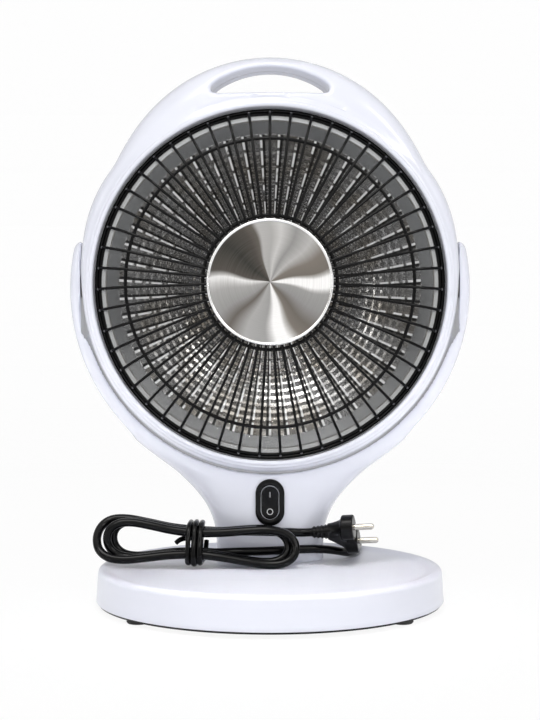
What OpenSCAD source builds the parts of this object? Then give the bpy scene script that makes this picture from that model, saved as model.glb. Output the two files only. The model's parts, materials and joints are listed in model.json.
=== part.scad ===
// Parabolic heater on a round weighted foot: a fork carries a tilting round
// head with a dished reflector, a heating element and a wire guard.
// Right is +X, the back is +Y, up is +Z; the origin is under the foot's centre.

/* [Base] */
// Radius of the round base at its lower edge
base_r = 110.8; // [104:0.2:130]
// Height of the base cover's side, from its lower edge to the rim crest
base_h = 20.5; // [18:0.5:26]
// How much the side leans in towards the top
base_lean = 1.2; // [0:0.1:4]
// Wall of the base cover
base_wall = 2.5; // [2:0.1:3]
// Width of the rounded rim around the dished top
rim_w = 12; // [9:0.5:16]
// Depth of the dished top below the rim crest
dish_depth = 2.5; // [1:0.1:3.5]
// Thickness of the bottom plate
plate_t = 2.4; // [2:0.1:3]
// How far the bottom plate shows below the cover
plate_drop = 1.4; // [0.8:0.1:2]
// Height of a rubber foot below the bottom plate
foot_h = 2.6; // [2:0.1:5]
// Radius of a rubber foot
foot_r = 7; // [5:0.5:9]
// How far the feet's centres stand in from the base's edge
foot_in = 9.9; // [9:0.1:16]
// Direction of the feet from the base's sides, in degrees
foot_turn = 39.4; // [30:0.1:50]
// Radius of the iron weight
weight_r = 84; // [60:1:88]
// Thickness of the iron weight
weight_t = 7; // [4:0.5:8]

/* [Fork] */
// Width of the neck at its foot
neck_w = 72; // [66:1:80]
// Depth of the neck from front to back
neck_d = 46; // [42:1:50]
// How far the neck spreads on each side where it meets the arms
neck_flare = 53; // [46:1:58]
// How far an ear's outer side stands from the round head's side
ear_out = 9.5; // [9.2:0.1:15]
// How far the arms' outer line sinks towards the neck
arm_drop = 2; // [0:0.5:4]
// Depth of the arms from front to back
arm_d = 40; // [36:1:44]
// Height of the ears above the tilt axis
ear_h = 30; // [24:1:34]
// Wall of the fork's two shells
fork_wall = 2.4; // [2:0.1:2.8]
// Clear gap between the head and the fork
fork_gap = 1.6; // [1.2:0.1:2]

/* [Tilt] */
// Clear height under the round head
head_lift = 81.5; // [78:0.1:92]
// Distance of the tilt axis behind the centre of the base
pivot_y = 48; // [46:0.5:50]
// Radius of a tilt pin
pin_r = 5; // [4:0.1:6]
// Running clearance of a tilt pin in its bush
pin_clear = 0.05; // [0.02:0.01:0.1]

/* [Head] */
// Radius of the round head at its sides
head_r = 124.2; // [122:0.1:126]
// How far the handle's top stands above the round head
handle_h = 28.6; // [26:0.1:36]
// How far the widest line of the head lies before the tilt axis
parting_lead = 8; // [6:0.5:10]
// Depth of the front housing before its parting line
front_d = 28; // [26:0.5:30]
// Depth of the rear housing behind its parting line
back_d = 58; // [54:1:62]
// Wall of the head's housings
head_wall = 2.4; // [2:0.1:2.8]
// Width of the rounded rim between the mouth and the head's side
bezel_w = 8.4; // [7.6:0.1:9.4]
// Half width of the handle's opening
grip_half_w = 39; // [34:0.5:42]
// Height of the handle's opening at its middle
grip_h = 19.4; // [15:0.1:20]
// Height of the handle's bar above its opening
grip_bar = 8.4; // [7:0.1:12]
// Radius of the round opening in the back
vent_r = 36; // [32:1:38]

/* [Reflector and element] */
// Width of the reflector's flat rim
flange_w = 10; // [8:0.5:14]
// Depth of the reflector's bowl
bowl_depth = 47; // [42:1:49]
// Sheet thickness of the reflector
bowl_t = 0.8; // [0.6:0.1:1]
// Radius of the ceramic core at its root
core_r = 14; // [12:0.5:15]
// Length of the ceramic core
core_len = 46; // [38:1:52]
// Turns of the heating wire
coil_turns = 9; // [6:1:12]
// Thickness of the wound heating wire
coil_wire = 2.4; // [1.8:0.1:2.8]

/* [Guard] */
// Number of radial guard wires
wire_count = 51; // [40:1:54]
// Thickness of a radial guard wire
wire_d = 1.9; // [1.6:0.1:2.2]
// Thickness of the guard's ring wires
ring_d = 2.3; // [2:0.1:2.6]
// How far the guard's middle ring stands in from its outer ring
mid_ring_in = 20.65; // [17:0.05:28]
// How far the guard's inner ring stands out from its disc
inner_ring_out = 2.4; // [2:0.1:8]
// Radius of the disc at the guard's centre
hub_r = 41; // [36:0.5:41.5]
// How far the guard's face stands before the bezel
guard_lead = 12; // [9:0.5:14]

/* [Switch] */
// Width of the switch frame
switch_w = 19.2; // [17:0.2:22]
// Height of the switch frame
switch_h = 30.9; // [28:0.1:34]
// Width of the rocker
rocker_w = 11.4; // [10:0.2:13]
// Height of the rocker
rocker_h = 21.6; // [20:0.2:23]
// Height of the switch's centre above the floor
switch_z = 61.6; // [58:0.1:66]
// Gap around the rocker in its frame
rocker_gap = 0.5; // [0.4:0.05:0.7]
// Tilt of the rocker at rest, from its middle place
rocker_tilt = 9; // [6:0.5:10]

/* [Cord] */
// Thickness of the mains cord
cord_d = 5.6; // [5:0.1:6]
// Thickness of the tie around the hank
tie_d = 2.6; // [2:0.1:3]
// Radius of each round lobe of the plug
lobe_r = 8.2; // [7:0.1:9]
// Distance between the two plug pins
plug_pitch = 19; // [18:0.1:20]
// Radius of a plug pin
plug_pin_r = 2; // [1.9:0.1:2.4]

/* [Hidden] */
$fn = 64;
eps = 0.01;

// Levels of the base, from the floor up
plate_z = foot_h;
cover_z = plate_z + plate_drop;
rim_z = cover_z + base_h;
dish_z = rim_z - dish_depth;
top_r = base_r - base_lean;
dish_r = top_r - rim_w;
plate_r = base_r - 1.6;
plate_in_r = base_r - base_lean - base_wall - 0.5;
foot_x = (base_r - foot_in) * cos(foot_turn);
foot_y = (base_r - foot_in) * sin(foot_turn);
boss_x = 62;
boss_y = 62;
boss_r = 4.5;
screw_r = 1.6;

// Places of the neck on the base
neck_y = 47;
neck_top_z = 102;
neck_power = 3;
neck_screw_x = 20;
neck_screw_lead = 6;

// The head's axis runs along Y through the tilt axis' height
front_y = pivot_y - parting_lead - front_d;
part_y = pivot_y - parting_lead;
back_y = part_y + back_d;
round_y = front_y + 16;
clear_r = sqrt(pow(head_r, 2) + pow(pivot_y - round_y, 2)) + fork_gap;
fork_r = head_r + ear_out;
ear_in_x = head_r + fork_gap;
pivot_z = head_r + head_lift;
handle_rise = head_r + handle_h;
mouth_r = head_r - bezel_w;
bezel_r = mouth_r + 1.6;

// Levels of the guard and the reflector along Y
guard_y = front_y - guard_lead;
seat_y = front_y + 11;
flange_y = seat_y + 0.3;
flange_r = mouth_r + 2.2;
bowl_r = flange_r - flange_w;
bowl_y = flange_y + 2;
pad_y = bowl_y + bowl_depth;
pad_r = 26;
bracket_t = 1.2;
bracket_r = core_r + 20;
outer_ring_r = mouth_r - ring_d / 2 - 0.3;
outer_ring_y = flange_y - ring_d / 2 - 0.05;
mid_ring_r = outer_ring_r - mid_ring_in;
inner_ring_r = hub_r + inner_ring_out;

// ---------------------------------------------------------------- helpers

// A closed skin over rings of points that turn right-handed about their way:
// wrapped round, or capped at both ends
module skin(rings, wrapped = false) {
    n = len(rings);
    m = len(rings[0]);
    last = wrapped ? n - 1 : n - 2;
    sides = [for (i = [0:last], j = [0:m - 1], half = [0, 1])
        let (a = i * m + j, b = i * m + (j + 1) % m,
             c = ((i + 1) % n) * m + (j + 1) % m, d = ((i + 1) % n) * m + j)
        half == 0 ? [a, c, b] : [a, d, c]];
    caps = wrapped ? [] : concat(
        [for (j = [1:m - 2]) [0, j, j + 1]],
        [for (j = [1:m - 2]) [(n - 1) * m, (n - 1) * m + j + 1, (n - 1) * m + j]]);
    points = [for (ring = rings, p = ring) p];
    polyhedron(points = points, faces = concat(sides, caps), convexity = 8);
}

function unit(v) = v / norm(v);

// One point of a smooth curve through a list of points, t from 0 to 1 past p1
function smooth_point(p0, p1, p2, p3, t) =
    0.5 * (2 * p1 + (p2 - p0) * t + (2 * p0 - 5 * p1 + 4 * p2 - p3) * t * t
        + (3 * p1 - p0 - 3 * p2 + p3) * t * t * t);

// A list of points with extra smooth points between them
function smooth_path(p, steps) = concat(
    [for (i = [0:len(p) - 2], k = [0:steps - 1])
        smooth_point(p[max(i - 1, 0)], p[i], p[i + 1], p[min(i + 2, len(p) - 1)], k / steps)],
    [p[len(p) - 1]]);

// The direction of a path at its point i
function heading(path, i) =
    i == 0 ? unit(path[1] - path[0])
    : i == len(path) - 1 ? unit(path[i] - path[i - 1])
    : unit(unit(path[i + 1] - path[i]) + unit(path[i] - path[i - 1]));

// Side directions along a path, each turned as little as possible from the last
function carried_sides(path, i, side, done) =
    i == len(path) ? done
    : let (t = heading(path, i), s = unit(side - (side * t) * t))
      carried_sides(path, i + 1, s, concat(done, [s]));

// Rings of a round tube along a path
function tube_rings(path, r, sides, start) =
    let (across = carried_sides(path, 0, start, []))
    [for (i = [0:len(path) - 1])
        let (t = heading(path, i), u = across[i], v = cross(t, u))
        [for (j = [0:sides - 1]) path[i] + r * (cos(360 * j / sides) * u + sin(360 * j / sides) * v)]];

module tube(path, r, sides, start = [0, 0.2, 1]) {
    skin(tube_rings(path, r, sides, start));
}

// Turns a shape made along +Z so that it lies along +Y on the head's axis
module on_head_axis(y = 0) {
    translate([0, y, pivot_z]) rotate([-90, 0, 0]) children();
}

// A round rod between two points
module rod(a, b, r, fn = 16) {
    d = b - a;
    turn = norm([d.x, d.y]) < eps ? 0 : atan2(d.y, d.x);
    translate(a) rotate([0, acos(d.z / norm(d)), turn]) cylinder(h = norm(d), r = r, $fn = fn);
}

// A flat oblong with round ends, its length along Y
module oblong(w, h) {
    hull() for (s = [-1, 1]) translate([0, s * (h - w) / 2]) circle(d = w);
}

module pair() {
    for (s = [-1, 1]) scale([s, 1, 1]) children();
}

// ------------------------------------------------------------------- base

module cover_outline() {
    polygon([
        [0, dish_z], [dish_r, dish_z], [dish_r + 4, dish_z + dish_depth * 0.5],
        [dish_r + 7, rim_z - 0.3], [top_r - 4, rim_z], [top_r - 1.8, rim_z - 0.7],
        [top_r - 0.4, rim_z - 2.2], [top_r, rim_z - 4], [base_r, cover_z],
        [base_r - base_wall, cover_z], [top_r - base_wall, rim_z - 4.5],
        [top_r - 4.5, rim_z - base_wall], [dish_r + 6, rim_z - base_wall - 0.3],
        [dish_r, dish_z - base_wall], [0, dish_z - base_wall]
    ]);
}

module base_boss_places() {
    for (sx = [-1, 1], sy = [-1, 1]) translate([sx * boss_x, sy * boss_y, 0]) children();
}

module base_cover() {
    color("whitesmoke") difference() {
        union() {
            rotate_extrude($fn = 128) cover_outline();
            base_boss_places()
                translate([0, 0, cover_z + plate_t]) cylinder(h = dish_z - cover_z - plate_t - 1, r = boss_r);
        }
        base_boss_places() translate([0, 0, cover_z]) cylinder(h = 12, r = screw_r - 0.2);
        translate([0, neck_y, dish_z - base_wall - 1]) cylinder(h = base_wall + 2, r = 11);
        neck_foot_places() translate([0, 0, -base_wall - 1]) cylinder(h = base_wall + 2, r = screw_r + 0.2);
    }
}

module base_plate() {
    color("#202022") difference() {
        union() {
            translate([0, 0, plate_z]) cylinder(h = plate_drop, r = plate_r, $fn = 128);
            translate([0, 0, plate_z]) cylinder(h = plate_drop + plate_t, r = plate_in_r, $fn = 128);
        }
        base_boss_places() {
            translate([0, 0, plate_z - 1]) cylinder(h = plate_drop + plate_t + 2, r = screw_r + 0.2);
            translate([0, 0, plate_z - 1]) cylinder(h = 2.2, r = 3.4);
        }
        foot_places() translate([0, 0, plate_z - 1]) cylinder(h = plate_drop + plate_t + 2, r = foot_r * 0.4);
    }
}

module ballast_weight() {
    color("#4a4a4c") translate([0, 0, cover_z + plate_t]) difference() {
        cylinder(h = weight_t, r = weight_r, $fn = 96);
        translate([0, neck_y * 0.6, -1]) cylinder(h = weight_t + 2, r = 27);
        base_boss_places() translate([0, 0, -1]) cylinder(h = weight_t + 2, r = boss_r + 0.8);
    }
}

module foot_places() {
    for (sx = [-1, 1], sy = [-1, 1]) translate([sx * foot_x, sy * foot_y, 0]) children();
}

module rubber_feet() {
    color("#1a1a1b") foot_places() {
        rotate_extrude() polygon([[0, 0], [foot_r - 0.8, 0], [foot_r, 0.8], [foot_r, foot_h], [0, foot_h]]);
        translate([0, 0, foot_h - eps]) cylinder(h = plate_drop + plate_t + 0.1, r = foot_r * 0.4 - 0.1);
        translate([0, 0, foot_h + plate_drop + plate_t]) cylinder(h = 1.2, r = foot_r * 0.4 + 0.9);
    }
}

module base_screws() {
    color("silver") base_boss_places() {
        translate([0, 0, plate_z + 0.2]) cylinder(h = 1, r = 3);
        translate([0, 0, plate_z + 1]) cylinder(h = 10, r = screw_r - 0.2);
    }
}

// Room in the weight's opening for the electrical parts
well_z = cover_z + plate_t;

module tip_over_switch() {
    color("#303034") translate([-13, neck_y * 0.6 - 4, well_z]) {
        translate([-5, -9, 0]) cube([10, 18, 9]);
        translate([0, 0, 9]) cylinder(h = 1.6, r = 3.6);
        for (s = [-1, 1]) translate([0, s * 11, 0]) cylinder(h = 1.6, r = 2.6);
        translate([-2.6, -11, 0]) cube([5.2, 22, 1.6]);
    }
}

module terminal_block() {
    color("ivory") translate([4, neck_y * 0.6 - 12, well_z]) difference() {
        cube([16, 9, 7]);
        for (i = [0:2]) {
            translate([3 + 5 * i, 4.5, 3]) cylinder(h = 5, r = 1.5);
            translate([3 + 5 * i, -1, 2.6]) rotate([-90, 0, 0]) cylinder(h = 11, r = 1.1);
        }
    }
}

module stand_wiring() {
    block = [4, neck_y * 0.6 - 12, well_z + 2.6];
    from_cord = [relief_at - 9.5 * relief_dir, [12, 54, 31], [6, 50, 24], [3, 47, 17], [5, 39, 11],
        [7, 30, 9], block + [3, 10, 0]];
    to_switch = [block + [8, 10, 0], [12, 34, 12], [4, 41, 17], [-1, 45, 26], [-1, 46, 38],
        [0, neck_y - 1, switch_z - 10]];
    to_head = [block + [13, 10, 0], [18, 36, 11], [9, 42, 17], [8, 44, 26], [8, 47, 36],
        [9, 50, 46], [22, 50, 60], [30, 54, 68], [39, 55, 79.5], [52, 54, 85]];
    color("saddlebrown") tube(smooth_path(from_cord, 2), 1.1, 8, [1, 0, 0]);
    color("firebrick") tube(smooth_path(to_switch, 2), 1.1, 8, [1, 0, 0]);
    color("royalblue") tube(smooth_path(to_head, 2), 1.1, 8, [1, 0, 0]);
}

// ------------------------------------------------------------------- fork

// Half width of the neck at height z
function neck_half(z) =
    let (t = max(0, min(1, (z - dish_z) / (neck_top_z - dish_z))))
    neck_w / 2 + neck_flare * pow(t, 3.2 - 1.4 * t);

function neck_outline(z, inset) =
    let (a = neck_half(z) - inset, b = neck_d / 2 - inset, n = 32)
    [for (i = [0:n - 1])
        let (c = cos(360 * i / n), s = sin(360 * i / n))
        [a * sign(c) * pow(abs(c), 2 / neck_power), neck_y + b * sign(s) * pow(abs(s), 2 / neck_power)]];

module neck_solid(inset, low_z) {
    high = neck_top_z + 4 - inset;
    steps = 11;
    for (k = [0:steps - 1]) hull() for (z = [k, k + 1])
        neck_slice(low_z + (high - low_z) * z / steps, inset);
}

module neck_slice(z, inset) {
    translate([0, 0, z]) linear_extrude(eps) polygon(neck_outline(z, inset));
}

module arm_section(inset) {
    r = 7;
    deep = 14;
    translate([fork_r - deep + inset, -arm_d / 2 + inset]) hull() {
        for (y = [r, arm_d - 2 * inset - r]) {
            translate([deep - 2 * inset - r, y]) circle(r = r, $fn = 12);
            translate([0, y - r]) square([1, 2 * r]);
        }
    }
}

// The arms as one round ring, cut level at the ears' tops
module arm_ring(inset) {
    translate([0, 0, -arm_drop]) intersection() {
        on_head_axis(pivot_y) rotate_extrude($fn = 60) arm_section(inset);
        translate([0, pivot_y + 40, pivot_z]) rotate([90, 0, 0]) linear_extrude(80)
            offset(r = 8, $fn = 32) offset(delta = -8) intersection() {
                circle(r = fork_r - inset + eps, $fn = 60);
                translate([-200, -400]) square([400, 400 + ear_h + arm_drop - inset]);
            }
    }
}

// Room for the head at any tilt, and straight inner faces on the ears
module head_room(extra) {
    translate([0, pivot_y, pivot_z]) {
        sphere(r = clear_r + extra, $fn = 60);
        translate([-ear_in_x - extra, 0, 0]) rotate([0, 90, 0])
            cylinder(h = 2 * (ear_in_x + extra), r = norm([ear_h, arm_d / 2]) + 2 + extra, $fn = 48);
    }
}

module fork_shell() {
    difference() {
        union() {
            neck_solid(0, dish_z);
            arm_ring(0);
        }
        head_room(0);
        difference() {
            union() {
                neck_solid(fork_wall, dish_z - 1);
                arm_ring(fork_wall);
            }
            head_room(fork_wall);
        }
    }
}

module ear_bores(r) {
    translate([-fork_r + 3, pivot_y, pivot_z]) rotate([0, 90, 0]) cylinder(h = 2 * fork_r - 6, r = r);
}

relief_at = [22, 66, 34];
relief_dir = [0.6, 0.8, 0];

module neck_front() {
    color("whitesmoke") difference() {
        union() {
            intersection() {
                fork_shell();
                translate([-200, pivot_y - 200, 0]) cube([400, 200, 400]);
            }
            neck_feet();
            neck_posts();
        }
        translate([0, neck_y - neck_d / 2 + 8, switch_z]) rotate([90, 0, 0])
            linear_extrude(20) oblong(switch_w - 3.4, switch_h - 3.4);
        ear_bores(pin_r + 2.5);
        neck_foot_places() translate([0, 0, -1]) cylinder(h = 12, r = screw_r - 0.1, $fn = 16);
        neck_screw_places() cylinder(h = 25, r = screw_r - 0.1, $fn = 16);
    }
}

module neck_foot_places() {
    for (s = [-1, 1]) translate([s * neck_screw_x, neck_y - neck_screw_lead, dish_z]) children();
}

// Posts inside the neck's foot that the screws from below bite into, each
// tied to the front wall by a rib
module neck_feet() {
    neck_foot_places() {
        cylinder(h = 12, r = 4.6, $fn = 24);
        translate([-1.2, neck_screw_lead - neck_d / 2 + 3.6, 0]) cube([2.4, neck_d / 2 - neck_screw_lead - 4, 12]);
    }
}

module neck_back() {
    color("whitesmoke") difference() {
        intersection() {
            fork_shell();
            translate([-200, pivot_y, 0]) cube([400, 200, 400]);
        }
        rod(relief_at - 8 * relief_dir, relief_at + 30 * relief_dir, 5.2, 32);
        ear_bores(pin_r + 2.5);
        neck_screw_places() {
            cylinder(h = 20, r = screw_r + 0.2, $fn = 16, center = true);
            translate([0, 0, -8]) cylinder(h = 8, r = 3.4, $fn = 24);
        }
    }
}

// Screws from the back hold the two shells together
neck_screw_at = [[14, 44], [40, 74]];
screw_sink = 1.4;
head_screw_h = 1.2;

// Where the back of the neck lies at a place across and above the floor
function neck_back_y(x, z) =
    neck_y + neck_d / 2 * pow(1 - pow(x / neck_half(z), neck_power), 1 / neck_power);

module neck_screw_places() {
    for (p = neck_screw_at, s = [-1, 1])
        translate([s * p.x, neck_back_y(p.x, p.y) - screw_sink, p.y]) rotate([90, 0, 0]) children();
}

module neck_posts() {
    for (p = neck_screw_at, s = [-1, 1])
        translate([s * p.x, pivot_y, p.y]) rotate([90, 0, 0]) cylinder(h = 21.5, r = 4, $fn = 24);
}

module neck_screws() {
    color("silver") {
        neck_screw_places() {
            translate([0, 0, -head_screw_h]) cylinder(h = head_screw_h, r = 3);
            translate([0, 0, -0.5]) cylinder(h = 24.5, r = screw_r - 0.2);
        }
        neck_foot_places() translate([0, 0, -base_wall - 1.6]) {
            cylinder(h = 1.6, r = 3);
            cylinder(h = 12, r = screw_r - 0.2);
        }
    }
}

module cord_relief() {
    color("#1c1c1e") {
        rod(relief_at - 9 * relief_dir, relief_at - 6 * relief_dir, 6.6, 32);
        rod(relief_at - 7 * relief_dir, relief_at + 8 * relief_dir, 5.1, 32);
        for (i = [0:4])
            rod(relief_at + (8 + 2.8 * i) * relief_dir, relief_at + (9.8 + 2.8 * i) * relief_dir, 4.7 - 0.2 * i, 32);
        rod(relief_at + 7 * relief_dir, relief_at + 22 * relief_dir, 3.6, 32);
    }
}

// ----------------------------------------------------------------- switch

rocker_at = [0, neck_y - neck_d / 2 + 0.5, switch_z];

module facing_front(y) {
    translate([0, y, switch_z]) rotate([90, 0, 0]) children();
}

module switch_frame() {
    face_y = neck_y - neck_d / 2 - 2.05;
    color("#161618") difference() {
        union() {
            facing_front(face_y + 2) linear_extrude(2) oblong(switch_w, switch_h);
            facing_front(face_y + 17) linear_extrude(15.5) oblong(switch_w - 4, switch_h - 4);
        }
        facing_front(face_y + 12) linear_extrude(13)
            oblong(rocker_w + 2 * rocker_gap, rocker_h + 2 * rocker_gap);
    }
}

module switch_rocker() {
    half = rocker_h / 2;
    color("#1d1d20") translate(rocker_at) rotate([rocker_tilt, 0, 0]) {
        intersection() {
            rotate([90, 0, 0]) translate([0, 0, -4]) linear_extrude(12) oblong(rocker_w, rocker_h);
            rotate([90, 0, 90]) translate([0, 0, -rocker_w]) linear_extrude(2 * rocker_w)
                polygon([[-2.9, half], [-1.4, 0], [-2.9, -half], [2, -half], [3, 0], [2, half]]);
        }
        translate([-rocker_w / 2 - rocker_gap + 0.1, 0, 0]) rotate([0, 90, 0])
            cylinder(h = rocker_w + 2 * rocker_gap - 0.2, r = 1.2);
    }
}

module switch_terminals() {
    color("goldenrod") for (k = [-1, 0, 1])
        translate([-2.4, neck_y - neck_d / 2 + 15.2, switch_z + 8 * k - 0.4]) cube([4.8, 7, 0.8]);
}

// -------------------------------------------------------------- tilt joint

module ear_place(x) {
    translate([x, pivot_y, pivot_z]) rotate([0, 90, 0]) children();
}

module pivot_bushes() {
    flange_x = clear_r + fork_wall + 0.1;
    color("ivory") pair() difference() {
        union() {
            ear_place(ear_in_x) cylinder(h = flange_x - ear_in_x + 0.8, r = pin_r + 2.4);
            ear_place(flange_x) cylinder(h = 0.8, r = pin_r + 4);
        }
        ear_place(ear_in_x - 1) cylinder(h = 10, r = pin_r + pin_clear);
    }
}

module pivot_washers() {
    color("#2a2a2c") pair() ear_place(head_r + 0.8) difference() {
        cylinder(h = ear_in_x - head_r - 0.9, r = pin_r + 4);
        translate([0, 0, -1]) cylinder(h = 5, r = pin_r + pin_clear);
    }
}

module pivot_pins() {
    color("silver") pair() {
        ear_place(head_r - 9) cylinder(h = 15.4, r = pin_r);
        ear_place(head_r - 9) cylinder(h = 4, r = pin_r + 4);
    }
}

// ------------------------------------------------------------ head housing

// Distance of the head's widest line from its axis, a degrees from the top
function egg(a) =
    let (c = cos(a), b = abs(a > 180 ? 360 - a : a),
         arch = pow(max(0, c - 0.6) / 0.4, 1.25),
         shoulder = b < 57 ? 1 : b > 98 ? 0 : 0.5 + 0.5 * cos((b - 57) * 4.39))
    head_r + handle_h * (0.79 * arch + 0.21 * shoulder);

function on_head(a, r, y) = [r * sin(a), y, pivot_z + r * cos(a)];

// How far the widest line moves back at the handle
function lean_back(a) = 10 * pow(max(0, cos(a)), 3);

front_steps = 5;

// Section of the front housing: bezel, rounded face, then back along the wall
function front_outside(a) =
    let (ro = egg(a), start_r = bezel_r + 3, start_y = front_y + 3, wide_y = round_y + lean_back(a))
    concat(
        [[mouth_r, seat_y], [mouth_r, front_y + 2], [bezel_r, front_y], [bezel_r + 2, front_y + 1.4]],
        [for (k = [0:front_steps])
            let (t = 90 * k / front_steps)
            [start_r + (ro - start_r) * sin(t), start_y + (wide_y - start_y) * (1 - cos(t))]],
        [[ro, part_y]]);

function front_inside(a) =
    let (ro = egg(a) - head_wall, start_r = bezel_r + 2.4, start_y = front_y + 3 + head_wall,
         wide_y = round_y + lean_back(a))
    [[ro, part_y], for (k = [3:-1:1])
        let (t = 30 * k)
        [start_r + (ro - start_r) * sin(t), start_y + (wide_y - start_y) * (1 - cos(t))],
        [mouth_r + 2.4, front_y + 5], [mouth_r + 2.4, seat_y]];

head_steps = 60;

module front_ring() {
    skin([for (i = [head_steps - 1:-1:0])
        let (a = 360 * i / head_steps)
        [for (p = concat(front_outside(a), front_inside(a))) on_head(a, p.x, p.y)]], true);
}

// The front housing filled in, for cutting what must stay inside it
module front_filled() {
    skin([for (k = [0:front_steps + 1])
        [for (i = [0:head_steps - 1])
            let (a = 360 * i / head_steps, p = front_outside(a)[4 + k])
            on_head(a, p.x, p.y)]]);
}

// Distance of the rear housing's outside from the axis, v from 0 to 1 along it
function dome(a, v) =
    let (q = v < 0.08 ? 1 : v > 0.5 ? 0 : 0.5 + 0.5 * cos((v - 0.08) * 428.6))
    vent_r + 2 + (head_r - vent_r - 2) * pow(1 - pow(v, 2.4), 1 / 2.4) + (egg(a) - head_r) * q;

back_stops = [0, 0.08, 0.16, 0.25, 0.35, 0.45, 0.56, 0.67, 0.78, 0.88, 0.95, 0.985];

function back_outside(a) = [for (v = back_stops) [dome(a, v), part_y + back_d * v]];

module back_ring() {
    skin([for (i = [head_steps - 1:-1:0])
        let (a = 360 * i / head_steps, outside = back_outside(a), n = len(outside))
        [for (p = concat(outside, [[vent_r, back_y], [vent_r, back_y - head_wall]],
            [for (k = [n - 2:-1:0]) [outside[k].x - head_wall, outside[k].y - (k == 0 ? 0 : head_wall * back_stops[k])]]))
            on_head(a, p.x, p.y)]], true);
}

module back_filled() {
    skin([for (v = back_stops)
        [for (i = [0:head_steps - 1])
            let (a = 360 * i / head_steps)
            on_head(a, dome(a, v), part_y + back_d * v)]]);
}

// Outline of the handle's opening, seen from the front
module grip_outline(grow) {
    top = pivot_z + handle_rise - grip_bar;
    low = top - grip_h;
    end_drop = grip_h * 0.7;
    arc_r = (pow(grip_half_w, 2) + pow(end_drop, 2)) / (2 * end_drop);
    offset(r = 3 + grow, $fn = 24) offset(delta = -3) intersection() {
        translate([0, top - arc_r]) circle(r = arc_r, $fn = 64);
        translate([-grip_half_w, low]) square([2 * grip_half_w, grip_h + 1]);
    }
}

module grip_prism(grow) {
    translate([0, back_y, 0]) rotate([90, 0, 0]) linear_extrude(back_y - front_y + 10) grip_outline(grow);
}

module head_front() {
    color("white") difference() {
        union() {
            front_ring();
            intersection() {
                grip_prism(head_wall);
                front_filled();
                translate([-100, 0, pivot_z]) cube([200, part_y, 200]);
            }
        }
        grip_prism(0);
    }
}

module head_back() {
    color("white") difference() {
        union() {
            back_ring();
            intersection() {
                grip_prism(head_wall);
                back_filled();
                translate([-100, part_y, pivot_z]) cube([200, 100, 200]);
            }
        }
        grip_prism(0);
        for (s = [-1, 1]) translate([s * (head_r - 6), pivot_y, pivot_z]) rotate([0, s * 90, 0])
            cylinder(h = 12, r = pin_r + 0.05);
        head_screw_places() cylinder(h = 30, r = screw_r + 0.2, center = true);
        vent_slots();
    }
}

// Rows of cooling slots around the back of the head
module vent_slots() {
    for (i = [0:23]) rotate_on_axis(15 * i + 7.5)
        translate([60, back_y - 30, -1.6]) cube([26, 40, 3.2]);
}

module rotate_on_axis(a) {
    translate([0, 0, pivot_z]) rotate([0, a, 0]) children();
}

head_screw_angles = [35, 110, 180, 250, 325];
head_screw_in = 11.5;

module head_screw_places() {
    for (a = head_screw_angles)
        translate(on_head(a, head_r - head_screw_in, part_y + 24)) rotate([90, 0, 0]) children();
}

module head_screws() {
    color("silver") head_screw_places() {
        translate([0, 0, -1.2]) cylinder(h = 2, r = 3);
        cylinder(h = 30, r = screw_r);
    }
}

module rear_vent_cover() {
    color("whitesmoke") on_head_axis(back_y - head_wall) difference() {
        union() {
            cylinder(h = head_wall, r = vent_r - 0.2);
            translate([0, 0, head_wall - eps]) cylinder(h = 1.2, r = vent_r + 3);
        }
        for (x = [-24:8:24]) translate([x, 0, -1]) linear_extrude(8)
            oblong(3, 2 * sqrt(pow(vent_r - 5, 2) - x * x));
    }
}

// ------------------------------------------------ reflector and the element

function bowl_at(r) = bowl_y + bowl_depth * (1 - pow(r / bowl_r, 2)) * 1.06;

bowl_stops = [for (r = [pad_r : 9.1 : bowl_r]) r];

function bowl_line(shift) = [for (r = bowl_stops) [r, min(bowl_at(r), pad_y) + shift]];

module reflector() {
    color("gainsboro") on_head_axis() rotate_extrude($fn = 96) polygon(concat(
        [[core_r + 3, pad_y]], bowl_line(0),
        [[bowl_r, bowl_y], [bowl_r + 0.6, flange_y + 0.2], [bowl_r + 2, flange_y], [flange_r, flange_y],
         [flange_r, flange_y + bowl_t], [bowl_r + 2, flange_y + bowl_t], [bowl_r + 0.8, bowl_y + bowl_t]],
        [for (i = [len(bowl_stops) - 1:-1:0]) bowl_line(bowl_t)[i]],
        [[core_r + 3, pad_y + bowl_t]]));
}

module reflector_clips() {
    color("silver") for (a = [30:60:330]) rotate_on_axis(a) {
        translate([-5, flange_y + bowl_t, flange_r - 6]) cube([10, 1, 6.5]);
        translate([0, flange_y + bowl_t + 1, flange_r - 2.6]) rotate([-90, 0, 0]) cylinder(h = 1.8, r = 2.6);
    }
}

module socket_bracket() {
    color("silver") on_head_axis(pad_y + bowl_t) difference() {
        cylinder(h = bracket_t, r = bracket_r);
        translate([0, 0, -1]) cylinder(h = 4, r = core_r + 2);
    }
}

socket_y = pad_y + bowl_t + bracket_t;
socket_d = min(14, back_y - socket_y - 6);

module element_socket() {
    color("ivory") on_head_axis(socket_y) difference() {
        union() {
            cylinder(h = 4, r = 22);
            cylinder(h = socket_d, r = 18);
        }
        translate([0, 0, -1]) cylinder(h = socket_d - 2, r = core_r * 0.8);
    }
}

module element_core() {
    tip_y = pad_y - core_len;
    color("linen") on_head_axis() rotate_extrude() polygon([
        [0, tip_y], [core_r * 0.55, tip_y], [core_r * 0.7, tip_y + 1.5], [core_r * 0.72, tip_y + 4],
        [core_r, pad_y - 4], [core_r, pad_y + 1], [core_r * 0.8 - 0.3, pad_y + 1],
        [core_r * 0.8 - 0.3, socket_y + socket_d - 5], [0, socket_y + socket_d - 5]
    ]);
}

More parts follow.
